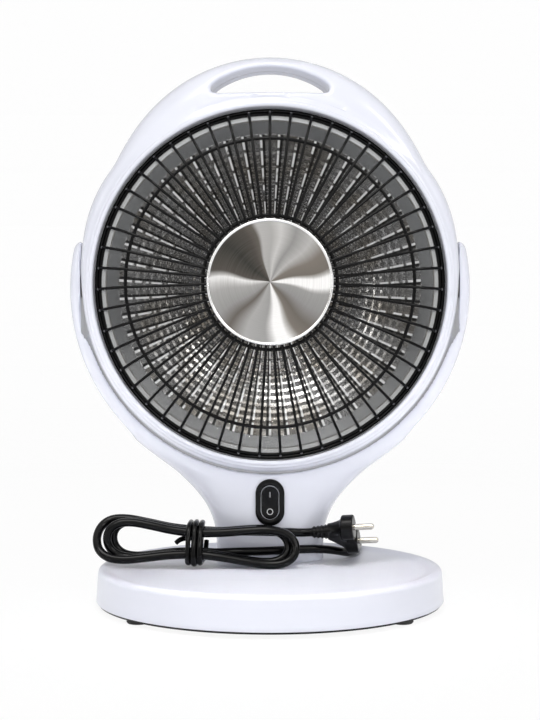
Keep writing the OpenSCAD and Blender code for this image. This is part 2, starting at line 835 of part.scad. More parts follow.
// The heating wire winds round the core's cone, clear of its surface
module element_coil() {
    rings = 12 * coil_turns;
    start_y = pad_y - 7;
    end_y = pad_y - core_len + 7;
    path = [for (i = [0:rings])
        let (t = i / rings, y = start_y + (end_y - start_y) * t,
             r = core_r * (1 - 0.28 * (pad_y - 4 - y) / (core_len - 8)) + coil_wire / 2 - 0.3)
        [r * cos(360 * coil_turns * t), y, pivot_z + r * sin(360 * coil_turns * t)]];
    color("dimgray") tube(path, coil_wire / 2, 6, [1, 0, 0]);
}

module thermal_cutout() {
    color("#8c6f4a") translate([0, socket_y, pivot_z + 28]) rotate([-90, 0, 0]) {
        cylinder(h = 4.5, r = 5.4);
        for (s = [-1, 1]) translate([s * 2.4 - 0.4, -2, 0]) cube([0.8, 4, 8]);
    }
}

// ------------------------------------------------------------------ guard

// The guard's wires run out from the hub, bend at the shoulder and reach the rim
hub_ring_r = 27;
wire_line = [
    [hub_ring_r - 1, guard_y], [inner_ring_r, guard_y + 0.3], [mid_ring_r, guard_y + 5],
    [outer_ring_r - 6.5, guard_y + 12.5], [outer_ring_r - 0.9, guard_y + 21]
];

module guard_wire() {
    tube([for (p = wire_line) [p.x, p.y, 0]], wire_d / 2, 6);
}

module guard_wires() {
    color("#0f0f10") for (i = [0:wire_count - 1])
        rotate_on_axis(-90 + 360 * i / wire_count) guard_wire();
}

module wire_ring(r, y, d) {
    on_head_axis(y) rotate_extrude($fn = 96) translate([r, 0]) circle(d = d, $fn = 20);
}

weld = 0.25;
behind = (wire_d + ring_d) / 2 - weld;

module guard_outer_rings() {
    color("#0f0f10") {
        wire_ring(outer_ring_r, outer_ring_y, ring_d);
        wire_ring(outer_ring_r - ring_d - 0.05, outer_ring_y, ring_d);
    }
}

module guard_mid_ring() {
    color("#0f0f10") wire_ring(mid_ring_r, guard_y + 5 + behind, ring_d);
}

module guard_inner_ring() {
    color("#0f0f10") wire_ring(inner_ring_r, guard_y + 0.3 + behind, ring_d);
}

module guard_hub_ring() {
    color("#0f0f10") wire_ring(hub_ring_r, guard_y + behind, ring_d);
}

module hub_disc() {
    edge_y = guard_y - wire_d / 2;
    color("lightgray") on_head_axis() rotate_extrude($fn = 96) polygon(concat(
        [for (k = [0:8]) let (r = (hub_r - 2.4) * k / 8) [r, edge_y - 3 + 1.2 * pow(k / 8, 2)]],
        [[hub_r - 1.6, edge_y - 2.4], [hub_r - 0.6, edge_y - 2.2], [hub_r, edge_y - 1.3], [hub_r - 0.5, edge_y - 0.3],
         [hub_r - 1.4, edge_y], [hub_r - 2.6, edge_y - 0.9]],
        [for (k = [7:-1:0]) let (r = (hub_r - 2.4) * k / 8) [r, edge_y - 2.2 + 1.2 * pow(k / 8, 2)]]));
}

module hub_clip() {
    clip_y = guard_y + behind + ring_d / 2 + 0.05;
    color("#0f0f10") on_head_axis(clip_y) difference() {
        cylinder(h = 1.2, r = hub_ring_r + 2.5);
        translate([0, 0, -1]) cylinder(h = 4, r = 2);
    }
}

module hub_screw() {
    tip_y = guard_y - wire_d / 2 - 2.5;
    clip_y = guard_y + behind + ring_d / 2 + 1.25;
    color("silver") {
        on_head_axis(tip_y) cylinder(h = clip_y - tip_y + 0.5, r = 1.9);
        on_head_axis(clip_y) cylinder(h = 1.8, r = 4);
    }
}

// ------------------------------------------------------------------- cord

// The hank stands on the dish before the neck and leans back a little:
// u runs along X, v up and w from the front column of strands to the back
hank_tie_x = -48;
hank_z = 37.7;
hank_y = 0;
hank_lean = 0.32;
hank_slope = 0.048;
column = 6.9;
row = 6.7;

function in_hank(u, v, w) =
    [u, hank_y + w * column + v * hank_lean, hank_z + v - hank_slope * (u - hank_tie_x)];

// Each half turn: reach from the tie, swell, and the column it starts and ends in
left_turns = [[54, 18, 2, 1], [57, 18.5, 1, 0], [64, 20, 0, 2]];
right_turns = [[60, 15.5, 1, 1], [64.5, 16.4, 0, 0]];
loop_rings = 12;

// Half a loop on one side of the tie; it changes column on its outer part,
// where it reaches past the others
function half_turn(side, turn, i) =
    let (t = 180 * i / loop_rings, c = 0.5 - 0.5 * cos(min(180, max(0, (t - 60) * 3))))
    in_hank(hank_tie_x + side * turn[0] * sin(t),
        side * cos(t) * (row + turn[1] * pow(sin(t), 2)),
        turn[2] + (turn[3] - turn[2]) * c);

function left_half(k) = [for (i = [0:loop_rings - 1]) half_turn(-1, left_turns[k], i)];
function right_half(k) = [for (i = [0:loop_rings - 1]) half_turn(1, right_turns[k], i)];

hank_end = 8;
hank_route = concat(
    [in_hank(hank_tie_x + hank_end, -row, 2), in_hank(hank_tie_x + hank_end - cord_d, -row, 2)],
    left_half(0), right_half(0), left_half(1), right_half(1), left_half(2),
    [in_hank(hank_tie_x, row, 2), in_hank(hank_tie_x + hank_end - cord_d, row, 2),
     in_hank(hank_tie_x + hank_end, row, 2)]);

function path_len(path) = norm(path[len(path) - 1] - path[len(path) - 2])
    + (len(path) > 2 ? path_len([for (i = [0:len(path) - 2]) path[i]]) : 0);

// Least gap between parts of one tube that lie apart along it
function least_gap(path, d, skip) = min([for (i = [0:len(path) - 2], j = [i + skip:1:len(path) - 1])
    norm(path[i] - path[j])]) - d;

module cord_hank() {
    color("#121214") tube(hank_route, cord_d / 2, 6);
}

// From the relief behind the neck, round its right side and in behind the hank
lead_route = [
    [38.6, 88.1, 34], [42, 91.2, 33.2], [46.5, 93, 32], [51.5, 92.8, 30.6], [56, 90.6, 29.2],
    [59.6, 86.8, 28], [61.5, 81.8, 26.8], [61.6, 76, 25.8], [60.8, 70, 25.2], [59.8, 63, 25],
    [58.5, 56, 25], [56, 48, 25.3], [52, 40, 26.2], [46.5, 33, 28], [40, 27, 29.8],
    [32, 22.6, 31], [21, 19.2, 31.3], [6, 15.5, 31.1], [-10, 12.8, 30.9], [-24, 11.8, 30.7]
];
tail_route = [[-26, 16, 43.6], [-12, 16.6, 43.3], [2, 18, 42.9], [13, 20.4, 42.4]];

lead_path = concat([relief_at + 22 * relief_dir], lead_route,
    [in_hank(hank_tie_x + hank_end + cord_d, -row, 2), in_hank(hank_tie_x + hank_end, -row, 2)]);

module cord_lead() {
    color("#121214") tube(lead_path, cord_d / 2, 8);
}

// The plug lies beside the neck: its axis, and the line through its two pins
plug_at = [51, 19.5, 41.1];
plug_axis = unit([0.975, -0.22, 0.07]);
plug_lie = [0.22, 0.79, -0.57];
plug_across = unit(plug_lie - (plug_lie * plug_axis) * plug_axis);
relief_end = plug_at - 5 * plug_across - 22 * plug_axis;

tail_path = concat(
    [in_hank(hank_tie_x + hank_end, row, 2), in_hank(hank_tie_x + hank_end + cord_d, row, 2)],
    tail_route, [relief_end - 8 * plug_axis, relief_end]);

module cord_tail() {
    color("#121214") tube(tail_path, cord_d / 2, 8);
}

// The tie winds round the hank's waist, then its end stands off
tie_turns = 3;
tie_half = 12.2;

function tie_point(i) =
    let (t = i / 24, a = 360 * t, c = cos(a), s = sin(a))
    in_hank(hank_tie_x - 4.6 + 3.1 * t,
        tie_half * sign(s) * pow(abs(s), 0.5),
        1 + tie_half / column * sign(c) * pow(abs(c), 0.5));

tie_route = [for (i = [0:24 * tie_turns]) tie_point(i)];

module cord_tie() {
    color("#17171a") tube(tie_route, tie_d / 2, 6);
}

echo(hank_gap = least_gap(hank_route, cord_d, 3), tie_gap = least_gap(tie_route, tie_d, 3));
echo(cord_len = path_len(lead_path) + path_len(hank_route) + path_len(tail_path));

module along_plug(shift) {
    m = cross(plug_axis, plug_across);
    multmatrix([
        [plug_across.x, m.x, plug_axis.x, plug_at.x + shift * plug_axis.x],
        [plug_across.y, m.y, plug_axis.y, plug_at.y + shift * plug_axis.y],
        [plug_across.z, m.z, plug_axis.z, plug_at.z + shift * plug_axis.z],
        [0, 0, 0, 1]]) children();
}

module plug_body() {
    color("#141416") difference() {
        union() {
            for (s = [-1, 1]) along_plug(-2) translate([s * plug_pitch / 2, 0, 0]) cylinder(h = 8, r = lobe_r);
            along_plug(-2) translate([-plug_pitch / 2, -5, 0]) cube([plug_pitch, 10, 7]);
            along_plug(-12) hull() {
                translate([0, 0, 9.9]) linear_extrude(0.2)
                    for (s = [-1, 1]) translate([s * plug_pitch / 2, 0]) circle(r = lobe_r - 1.5, $fn = 32);
                translate([-5, 0, 0]) cylinder(h = 0.2, r = 5.4, $fn = 32);
            }
        }
        for (s = [-1, 1]) along_plug(-4) translate([s * plug_pitch / 2, 0, 0]) cylinder(h = 12, r = plug_pin_r);
    }
}

module plug_relief() {
    color("#141416") {
        rod(relief_end, relief_end + 10 * plug_axis, 4, 32);
        rod(relief_end + 1 * plug_axis, relief_end + 2.6 * plug_axis, 4.6, 32);
    }
}

module plug_pins() {
    color("silver") for (s = [-1, 1]) {
        along_plug(-4) translate([s * plug_pitch / 2, 0, 0]) cylinder(h = 21, r = plug_pin_r);
        along_plug(17) translate([s * plug_pitch / 2, 0, 0]) sphere(r = plug_pin_r, $fn = 24);
    }
}

// ------------------------------------------------------------------ nodes

base_cover();
base_plate();
ballast_weight();
rubber_feet();
base_screws();
tip_over_switch();
terminal_block();
stand_wiring();
neck_front();
neck_back();
neck_screws();
cord_relief();
switch_frame();
switch_rocker();
switch_terminals();
pivot_bushes();
pivot_washers();
pivot_pins();
head_front();
head_back();
head_screws();
rear_vent_cover();
reflector();
reflector_clips();
socket_bracket();
element_socket();
element_core();
element_coil();
thermal_cutout();
guard_wires();
guard_outer_rings();
guard_mid_ring();
guard_inner_ring();
guard_hub_ring();
hub_disc();
hub_clip();
hub_screw();
cord_lead();
cord_hank();
cord_tail();
cord_tie();
plug_body();
plug_relief();
plug_pins();
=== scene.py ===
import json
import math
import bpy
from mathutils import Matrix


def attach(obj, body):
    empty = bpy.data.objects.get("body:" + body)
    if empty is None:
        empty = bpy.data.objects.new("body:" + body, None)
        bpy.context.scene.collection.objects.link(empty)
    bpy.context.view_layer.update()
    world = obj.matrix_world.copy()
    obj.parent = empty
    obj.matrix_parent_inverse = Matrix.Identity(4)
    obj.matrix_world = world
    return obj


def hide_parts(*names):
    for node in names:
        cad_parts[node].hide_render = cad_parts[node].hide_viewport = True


bl_info = {
    "name": "Parabolic heater",
    "version": (1, 0, 0),
    "blender": (4, 5, 0),
    "location": "View3D > Sidebar > Heater",
    "description": "Dresses the packed heater with its housings, guard, reflector, switch and cord",
    "category": "Add Mesh",
}

import bmesh
import bpy
import numpy as np
from mathutils import Vector

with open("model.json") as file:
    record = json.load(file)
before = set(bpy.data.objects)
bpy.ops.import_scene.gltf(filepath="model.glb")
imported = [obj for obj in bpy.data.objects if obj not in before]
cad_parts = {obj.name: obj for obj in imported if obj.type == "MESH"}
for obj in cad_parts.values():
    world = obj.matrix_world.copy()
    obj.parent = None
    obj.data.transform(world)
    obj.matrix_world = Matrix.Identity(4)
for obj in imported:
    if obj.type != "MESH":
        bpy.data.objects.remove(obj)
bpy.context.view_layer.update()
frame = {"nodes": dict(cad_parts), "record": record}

MM = 0.001

# Levels of the heater in millimetres, as its solids have them
BASE_R, TOP_R, DISH_R = 110.8, 109.6, 97.6
COVER_Z, RIM_Z, DISH_Z, COVER_WALL = 4.0, 24.5, 22.0, 2.5
NECK_Y, NECK_W, NECK_D, NECK_FLARE, NECK_TOP = 47.0, 72.0, 46.0, 53.0, 102.0
PIVOT = (0.0, 48.0, 205.7)
HEAD_AXIS = (0.0, 0.0, PIVOT[2])
FORK_R, ARM_DROP, ARM_W, ARM_D, ARM_ROUND = 133.7, 2.0, 40.0, 40.0, 7.0
EAR_H, EAR_IN, CLEAR_R = 30.0, 125.8, 127.4
HEAD_R, HANDLE_H = 124.2, 28.6
FRONT_Y, ROUND_Y, PART_Y, BACK_Y, BACK_D = 12.0, 28.0, 40.0, 98.0, 58.0
MOUTH_R, BEZEL_R, FACE_R, VENT_R, SHELL_WALL = 115.8, 117.4, 120.4, 36.0, 1.6
GRIP_HALF, GRIP_H, GRIP_TOP = 39.0, 19.4, 350.1
SLOTS, SLOT_IN, SLOT_OUT, SLOT_HALF = 24, 60, 86, 1.6
SLOT_FROM, WELL_FROM, CUT_TO = 68, 60, 110
HEAD_SCREW_R, HEAD_SCREW_AT, SCREW_SEAT_Y, WELL_R = 112.7, (35, 110, 180, 250, 325), 65.0, 3.5
NECK_SCREWS, RECESS_R = [(-14, 44), (14, 44), (-40, 74), (40, 74)], 3.4
BOWL_R, BOWL_Y, BOWL_D, FLANGE_Y, FLANGE_R, PAD_Y, PAD_R = 108.0, 25.3, 47.0, 23.3, 118.0, 72.3, 17
SHEET = 0.8
CORE_L, CORE_R, CORE_TIP_R, CORE_FOOT_R, CORE_FOOT_Y = 46.0, 14, 10.1, 10.9, 83.3
COIL_TURNS, COIL_R = 9, 1.2
HUB_R, HUB_FACE_R = 41, 38.6
WIRES, WIRE_D, RING_D = 51, 1.9, 2.3
INNER_RING_R, MID_RING_R, HUB_RING_R = 43.4, 93.7, 27.0
SWITCH_Z, ROCKER_Y, ROCKER_TILT, KEY_W, KEY_H = 61.6, 24.5, 9, 5.7, 10.8
CORD_D = 5.6

# Points round the switch's outlines, columns of the head's housings, and half the columns of the
# patch that the handle's opening is worked into, with the patch's outer and inner radius
ROUND, COLUMNS, PATCH = 48, 180, 12
PATCH_OUT, PATCH_IN = 148.6, 122.6


# ------------------------------------------------------------------ materials


class Sock:
    """A shader value that takes part in plain arithmetic."""

    def __init__(self, paint, out):
        self.paint, self.out = paint, out

    def math(self, operation, other=None):
        inputs = {0: self} if other is None else {0: self, 1: other}
        return self.paint.node("ShaderNodeMath", {"operation": operation}, inputs)

    def __add__(self, other):
        return self.math("ADD", other)

    def __sub__(self, other):
        return self.math("SUBTRACT", other)

    def __mul__(self, other):
        return self.math("MULTIPLY", other)

    def __truediv__(self, other):
        return self.math("DIVIDE", other)

    def __pow__(self, other):
        return self.math("POWER", other)

    def __radd__(self, other):
        return self + other

    def __rmul__(self, other):
        return self * other

    def __rsub__(self, other):
        return self * -1.0 + other

    def sin(self):
        return self.math("SINE")

    def cos(self):
        return self.math("COSINE")

    def absolute(self):
        return self.math("ABSOLUTE")

    def step(self, low, high):
        """0 below low, 1 above high, smooth between."""
        return self.paint.node(
            "ShaderNodeMapRange",
            {"interpolation_type": "SMOOTHSTEP"},
            {"Value": self, "From Min": low, "From Max": high},
        )


class Shading:
    """Builds a shader node tree."""

    def __init__(self, tree):
        self.tree = tree
        self.tree.nodes.clear()

    def put(self, socket, value):
        if isinstance(value, Sock):
            self.tree.links.new(value.out, socket)
        elif isinstance(value, (tuple, list)) and len(value) == 3 and socket.type == "RGBA":
            socket.default_value = (*value, 1.0)
        else:
            socket.default_value = value

    def node(self, kind, settings=None, inputs=None, output=0):
        made = self.tree.nodes.new(kind)
        for key, value in (settings or {}).items():
            if key == "stops":
                ramp = made.color_ramp
                while len(ramp.elements) > 2:
                    ramp.elements.remove(ramp.elements[0])
                for i, (place, colour) in enumerate(value):
                    stop = ramp.elements[i] if i < 2 else ramp.elements.new(place)
                    stop.position, stop.color = place, (*colour, 1.0)
            else:
                setattr(made, key, value)
        for key, value in (inputs or {}).items():
            self.put(made.inputs[key], value)
        return Sock(self, made.outputs[output])

    def place(self):
        return self.node("ShaderNodeTexCoord", output="Object")

    def split(self, vector):
        parts = self.tree.nodes.new("ShaderNodeSeparateXYZ")
        self.put(parts.inputs[0], vector)
        return [Sock(self, parts.outputs[i]) for i in range(3)]

    def noise(self, vector, scale, detail=2.0, rough=0.5):
        inputs = {"Vector": vector, "Scale": scale, "Detail": detail, "Roughness": rough}
        return self.node("ShaderNodeTexNoise", {}, inputs)

    def stretch(self, vector, scale):
        return self.node("ShaderNodeMapping", {}, {"Vector": vector, "Scale": scale})

    def join(self, x, y, z):
        return self.node("ShaderNodeCombineXYZ", {}, {0: x, 1: y, 2: z})

    def blend(self, mask, low, high):
        made = self.tree.nodes.new("ShaderNodeMix")
        made.data_type = "RGBA"
        self.put(made.inputs[0], mask)
        self.put(made.inputs[6], low)
        self.put(made.inputs[7], high)
        return Sock(self, made.outputs[2])

    def bump(self, height, strength, distance, normal=None):
        inputs = {"Height": height, "Strength": strength, "Distance": distance}
        if normal is not None:
            inputs["Normal"] = normal
        return self.node("ShaderNodeBump", {}, inputs)


class Paint(Shading):
    """Builds one material's node tree."""

    def __init__(self, name):
        self.material = bpy.data.materials.new(name)
        self.material.use_nodes = True
        super().__init__(self.material.node_tree)
        self.shader = self.tree.nodes.new("ShaderNodeBsdfPrincipled")
        self.end = self.tree.nodes.new("ShaderNodeOutputMaterial")
        self.tree.links.new(self.shader.outputs["BSDF"], self.end.inputs["Surface"])

    def round_head(self):
        """Y, height over the head's axis, distance from it and turn from the top, at the shaded place."""
        x, y, z = self.split(self.place())
        across = z - PIVOT[2] * MM
        out = (x * x + across * across) ** 0.5
        turn = self.node("ShaderNodeMath", {"operation": "ARCTAN2"}, {0: x, 1: across})
        return y, across, out, turn


def set_surface(paint, values):
    """Sets or links the shader's sockets and gives the material."""
    for key, value in values.items():
        paint.put(paint.shader.inputs[key], value)
    return paint.material


def white_shell(name, seam=None, shine=1.0, tone=1.0, grain=1.0):
    """Glossy moulded white plastic, with a faint moulded skin and the line where two shells meet."""
    p = Paint(name)
    place = p.place()
    y = p.split(place)[1]
    cloud = p.noise(place, 14.0, 3.0)
    speck = p.noise(place, 900.0, 1.0)
    white = tuple(c * tone for c in bpy.context.scene.heater_finishes.shell_colour)
    shade = tuple(c * 0.965 for c in white)
    colour = p.blend(cloud.step(0.35, 0.75), white, shade)
    rough = cloud * 0.05 + speck * (0.02 * grain) + 0.17
    waves = p.noise(place, 120.0, 2.0)
    skin = p.bump(speck * (0.4 * grain) + waves * 0.6, 0.02 + 0.015 * grain, 0.0004)
    if seam is not None:
        line = (y - seam * MM).absolute().step(0.00018, 0.00045)
        colour = p.blend(1.0 - line, colour, (0.36, 0.35, 0.35))
        skin = p.bump(line, 0.5, 0.0004, skin)
    return set_surface(p, {
        "Base Color": colour,
        "Roughness": rough + (1.0 - shine) * 0.25,
        "Normal": skin,
        "Specular IOR Level": 0.5 * shine,
        "Coat Weight": 0.35 * shine ** 2,
        "Coat Roughness": 0.06,
    })


def two_tone(name, colours, drift, grain, rough, bump, brush=None, **sockets):
    """A finish that drifts between two colours and has a fine grain in its gloss and surface.

    drift is (scale, detail, low, high), grain is (scale, detail, roughness), rough is (base, share of
    drift, share of grain), bump is (strength, distance), and brush stretches the grain."""
    p = Paint(name)
    place = p.place()
    wide = p.noise(place, *drift[:2])
    fine = p.noise(p.stretch(place, brush) if brush else place, *grain)
    return set_surface(p, {
        "Base Color": p.blend(wide.step(*drift[2:]), *colours),
        "Roughness": wide * rough[1] + fine * rough[2] + rough[0],
        "Normal": p.bump(fine, *bump),
        **{key.replace("_", " "): value for key, value in sockets.items()},
    })


def smooth_plastic(name, rough, colour, grain=0.05, gloss=0.5):
    """Moulded plastic with a slight wear in its colour."""
    worn = tuple(c * 1.9 + 0.002 for c in colour)
    return two_tone(name, (colour, worn), (60.0, 2.0, 0.4, 0.8), (1400.0, 2.0), (rough, 0.12, 0.06),
                    (grain, 0.0003), Specular_IOR_Level=gloss)


def plain_metal(name, colour, rough, metallic=1.0, grain=1.0):
    """Metal with a faint drawn grain and duller patches."""
    dull = tuple(c * 0.72 for c in colour)
    return two_tone(name, (colour, dull), (90.0, 3.0, 0.35, 0.75), (900.0, 2.0), (rough, 0.15, 0.0),
                    (0.08 * grain, 0.0003), (1.0, 6.0, 1.0), Metallic=metallic)


def black_enamel():
    """Glossy enamel on wire: runs a little unevenly, and paler grey near the wires' outer ends."""
    p = Paint("guard_enamel")
    y, _, out, _ = p.round_head()
    runs = p.noise(p.place(), 260.0, 2.0)
    tip = out.step(0.1127, 0.1131) * (1.0 - y.step(0.0196, 0.0204))
    enamel = tuple(bpy.context.scene.heater_finishes.guard_colour)
    return set_surface(p, {
        "Base Color": p.blend(tip * 0.85, enamel, (0.32, 0.32, 0.33)),
        "Roughness": runs * 0.16 + 0.08,
        "Normal": p.bump(runs, 0.1, 0.0003),
        "Specular IOR Level": 0.16,
    })


def polished_reflector():
    """Polished sheet, pressed into ribs and rows, with a plain outer ring and a pale flange; painted highlights and
    painted dark reflections of the wires run along the ribs, and a painted sheen pales the bowl's lower part.
    """
    p = Paint("reflector_polish")
    _, across, out, turn = p.round_head()
    ribs = turn * float(WIRES)
    film = p.noise(p.place(), 40.0, 3.0)
    mottle = p.noise(p.place(), 130.0, 2.0)
    brush = p.noise(p.join(out * 900.0, turn * 1.5, 0.0), 1.0, 3.0)
    flange = out.step(0.1120, 0.1125)
    plain = out.step(0.1004, 0.1010)
    pressed = 1.0 - plain
    rows = (out * (2.0 * math.pi / 0.0105)).sin()
    cells = (ribs.sin().absolute() * 0.4 + rows * ribs.sin() * 0.12) * pressed
    # Painted light: the bright mask paints highlight lines along the ribs, the shaded mask paints dark reflections
    # of the wires, and the lower sector mask paints a sheen by taking metal out so that the bowl's lower part shows
    # paler.
    bright = (ribs.cos() * -1.0).step(0.86, 0.97) * rows.step(-0.95, -0.75) * mottle.step(0.34, 0.46) * pressed
    shaded = (ribs + 2.2).cos().step(0.80, 0.96) * pressed
    painted_sheen_sector = (across / out * -1.0).step(0.72, 0.97) * pressed * (1.0 - out.step(0.078, 0.086))
    colour = p.blend(film.step(0.35, 0.7), (0.88, 0.88, 0.88), (0.62, 0.58, 0.52))
    for mask, tone in (
        (shaded * 0.9, (0.05, 0.05, 0.05)), (bright, (0.97, 0.97, 0.97)),
        (plain, (0.52, 0.53, 0.54)), (flange, (0.97, 0.97, 0.98)),
    ):
        colour = p.blend(mask, colour, tone)
    return set_surface(p, {
        "Base Color": colour,
        "Metallic": 0.9 - flange * 0.75 - bright * 0.7 - painted_sheen_sector * 0.16,
        "Roughness": film * 0.05 + plain * 0.12 + flange * 0.15 + 0.09,
        "Normal": p.bump(brush, 0.05, 0.0002, p.bump(cells, 0.3, 0.0006)),
    })


# Grey of the disc's painted wedges of highlight and shade, by the share of a turn from the top
PAINTED_GLEAM_WEDGES = (
    (0.0, 0.50, 0.495, 0.490), (0.03, 0.70, 0.693, 0.686), (0.075, 0.36, 0.356, 0.353),
    (0.125, 0.60, 0.594, 0.588), (0.17, 0.26, 0.231, 0.203), (0.215, 0.22, 0.196, 0.172),
    (0.235, 0.98, 0.970, 0.960), (0.265, 0.98, 0.970, 0.960), (0.285, 0.42, 0.416, 0.412),
    (0.335, 0.36, 0.356, 0.353), (0.385, 0.18, 0.160, 0.140), (0.42, 0.24, 0.214, 0.187),
    (0.45, 0.98, 0.970, 0.960), (0.48, 0.98, 0.970, 0.960), (0.51, 0.42, 0.416, 0.412),
    (0.57, 0.50, 0.495, 0.490), (0.62, 0.16, 0.142, 0.125), (0.66, 0.38, 0.376, 0.372),
    (0.72, 0.50, 0.495, 0.490), (0.762, 0.90, 0.891, 0.882), (0.782, 0.10, 0.089, 0.078),
    (0.86, 0.04, 0.040, 0.035), (0.92, 0.08, 0.071, 0.062), (0.95, 0.14, 0.125, 0.109),
    (0.963, 0.55, 0.544, 0.539), (1.0, 0.50, 0.495, 0.490))


def spun_steel():
    """Brushed disc: fine rings from spinning, with soft painted wedges of highlight and shade where the brushing
    would turn the light.
    """
    p = Paint("spun_steel")
    _, _, out, turn = p.round_head()
    rings = p.noise(p.join(out * 2600.0, turn * 0.35, 3.0), 1.0, 3.0, 0.65)
    hour = (turn / (2.0 * math.pi) + (out * 170.0).sin() * 0.007 + 1.0).math("FRACT")
    rim = out.step(0.0385, 0.0392)
    stops = tuple((place, tuple(grey)) for place, *grey in PAINTED_GLEAM_WEDGES)
    colour = p.node("ShaderNodeValToRGB", {"stops": stops}, {0: hour})
    # The painted bright wedges also lose some metal, so that they show paler
    gleam = p.split(colour)[0].step(0.6, 0.98)
    colour = p.blend(rings.step(0.3, 0.7) * 0.2 + 0.03, colour, (0.22, 0.21, 0.20))
    return set_surface(p, {
        "Base Color": p.blend(rim, colour, (0.92, 0.92, 0.92)),
        "Metallic": 1.0 - gleam * 0.5,
        "Roughness": (1.0 - rim) * 0.2 + rings * 0.08 + 0.1,
        "Normal": p.bump(rings, 0.25, 0.0002),
    })


def cord_rubber():
    """Soft glossy jacket: slight waves from moulding and a light dust on top."""
    p = Paint("cord_jacket")
    jacket = tuple(bpy.context.scene.heater_finishes.cord_colour)
    place = p.place()
    wave = p.noise(place, 55.0, 2.0)
    dust = p.noise(place, 1100.0, 2.0)
    return set_surface(p, {
        "Base Color": p.blend(dust.step(0.55, 0.8) * 0.3, jacket, (0.006, 0.006, 0.0066)),
        "Roughness": wave * 0.05 + 0.04,
        "Normal": p.bump(wave * 0.9 + dust * 0.1, 0.05, 0.0006),
        "Specular IOR Level": 0.17,
    })


def wire_jackets():
    """Brown and blue jackets of the wires inside."""
    p = Paint("wire_jackets")
    fine = p.noise(p.place(), 500.0, 2.0)
    side = (p.split(p.place())[0] * 300.0).sin().step(-0.3, 0.3)
    return set_surface(p, {
        "Base Color": p.blend(side, (0.20, 0.07, 0.03), (0.05, 0.09, 0.30)),
        "Roughness": fine * 0.2 + 0.4,
        "Normal": p.bump(fine, 0.1, 0.0003),
    })


def make_finishes():
    """Every finish, by the record's slot names and a few of its own."""
    return {
        "white_shell": white_shell("white_shell"),
        "white_head": white_shell("white_head", PART_Y),
        "white_fork": white_shell("white_fork", PIVOT[1]),
        "white_base": white_shell("white_base", None, 0.64, 0.93, 0.0),
        "black_plastic": smooth_plastic("black_plastic", 0.38, (0.008, 0.008, 0.009), 0.05, 0.3),
        "black_gloss": smooth_plastic("black_gloss", 0.12, (0.002, 0.002, 0.0023), 0.03, 0.17),
        "iron_weight": two_tone(
            "cast_weight", ((0.07, 0.07, 0.075), (0.17, 0.08, 0.04)), (35.0, 3.0, 0.55, 0.8),
            (260.0, 4.0, 0.7), (0.6, 0.0, 0.2), (0.6, 0.0008), Metallic=0.5),
        "black_rubber": two_tone(
            "foot_rubber", ((0.016, 0.016, 0.017), (0.05, 0.05, 0.05)), (120.0, 3.0, 0.45, 0.75),
            (1500.0, 3.0), (0.62, 0.0, 0.2), (0.25, 0.0004)),
        "screw_steel": plain_metal("screw_steel", (0.62, 0.62, 0.63), 0.28),
        "ceramic": two_tone(
            "fired_ceramic", ((0.80, 0.76, 0.68), (0.58, 0.52, 0.44)), (45.0, 3.0, 0.45, 0.8),
            (700.0, 3.0), (0.6, 0.0, 0.2), (0.3, 0.0004)),
        "wire_jackets": wire_jackets(),
        "brass_parts": plain_metal("brass_parts", (0.70, 0.55, 0.28), 0.25),
        "pin_metal": plain_metal("pin_metal", (0.78, 0.74, 0.66), 0.12),
        "reflector_sheet": polished_reflector(),
        "heating_wire": plain_metal("heating_wire", (0.20, 0.18, 0.17), 0.5, 0.85, 3.0),
        "cutout_case": smooth_plastic("cutout_case", 0.5, (0.28, 0.17, 0.09)),
        "guard_black": black_enamel(),
        "spun_steel": spun_steel(),
        "natural_nylon": smooth_plastic("natural_nylon", 0.45, (0.62, 0.59, 0.52)),
        "cord_jacket": cord_rubber(),
        "mark_paint": smooth_plastic("mark_paint", 0.5, (0.52, 0.52, 0.53)),
    }


FINISH = {}


# --------------------------------------------------------------------- meshes


def mesh_of(name, points, faces=()):
    """A mesh from points in millimetres."""
    mesh = bpy.data.meshes.new(name)
    places = (np.asarray(points, float) * MM).tolist()
    mesh.from_pydata([tuple(v) for v in places], [], [tuple(int(i) for i in f) for f in faces])
    mesh.validate()
    mesh.update()
    return mesh


def piece(name, points, faces, body, slot, finish=None, replaced=(), smooth=True):
    """A mesh piece from points in millimetres, riding on a body."""
    return settle(name, mesh_of(name, points, faces), body, slot, finish, replaced, smooth)


def settle(name, mesh, body, slot, finish=None, replaced=(), smooth=True):
    """Gives a mesh its object and finish, hangs it on a body and hides the CAD nodes that it stands for; slot names
    the finish when none other is given.
    """
    obj = bpy.data.objects.new(name, mesh)
    bpy.context.scene.collection.objects.link(obj)
    mesh.materials.clear()
    mesh.materials.append(FINISH[finish or slot])
    mesh.polygons.foreach_set("material_index", [0] * len(mesh.polygons))
    mesh.polygons.foreach_set("use_smooth", [smooth] * len(mesh.polygons))
    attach(obj, body)
    if replaced:
        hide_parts(*replaced)
    return obj


def weighted(obj, angle=35.0):
    """Marks sharp edges by angle, so that smooth shading keeps its corners."""
    bm = bmesh.new()
    bm.from_mesh(obj.data)
    for e in bm.edges:
        if len(e.link_faces) == 2 and e.calc_face_angle() > math.radians(angle):
            e.smooth = False
    bm.to_mesh(obj.data)
    bm.free()
    return obj


def outward(obj):
    """Welds a closed mesh and turns its faces outwards."""
    bm = bmesh.new()
    bm.from_mesh(obj.data)
    bmesh.ops.remove_doubles(bm, verts=bm.verts, dist=1e-6)
    bmesh.ops.recalc_face_normals(bm, faces=bm.faces)
    bm.to_mesh(obj.data)
    bm.free()
    return obj


def belt(low, high, count):
    """Faces between two rings of count points, which start at the points low and high."""
    return [(low + k, low + (k + 1) % count, high + (k + 1) % count, high + k) for k in range(count)]


def grid_faces(rows, columns, loop=False):
    """Faces between rings of points; loop joins the last ring to the first."""
    faces = []
    for i in range(rows if loop else rows - 1):
        faces += belt(i * columns, (i + 1) % rows * columns, columns)
    return faces


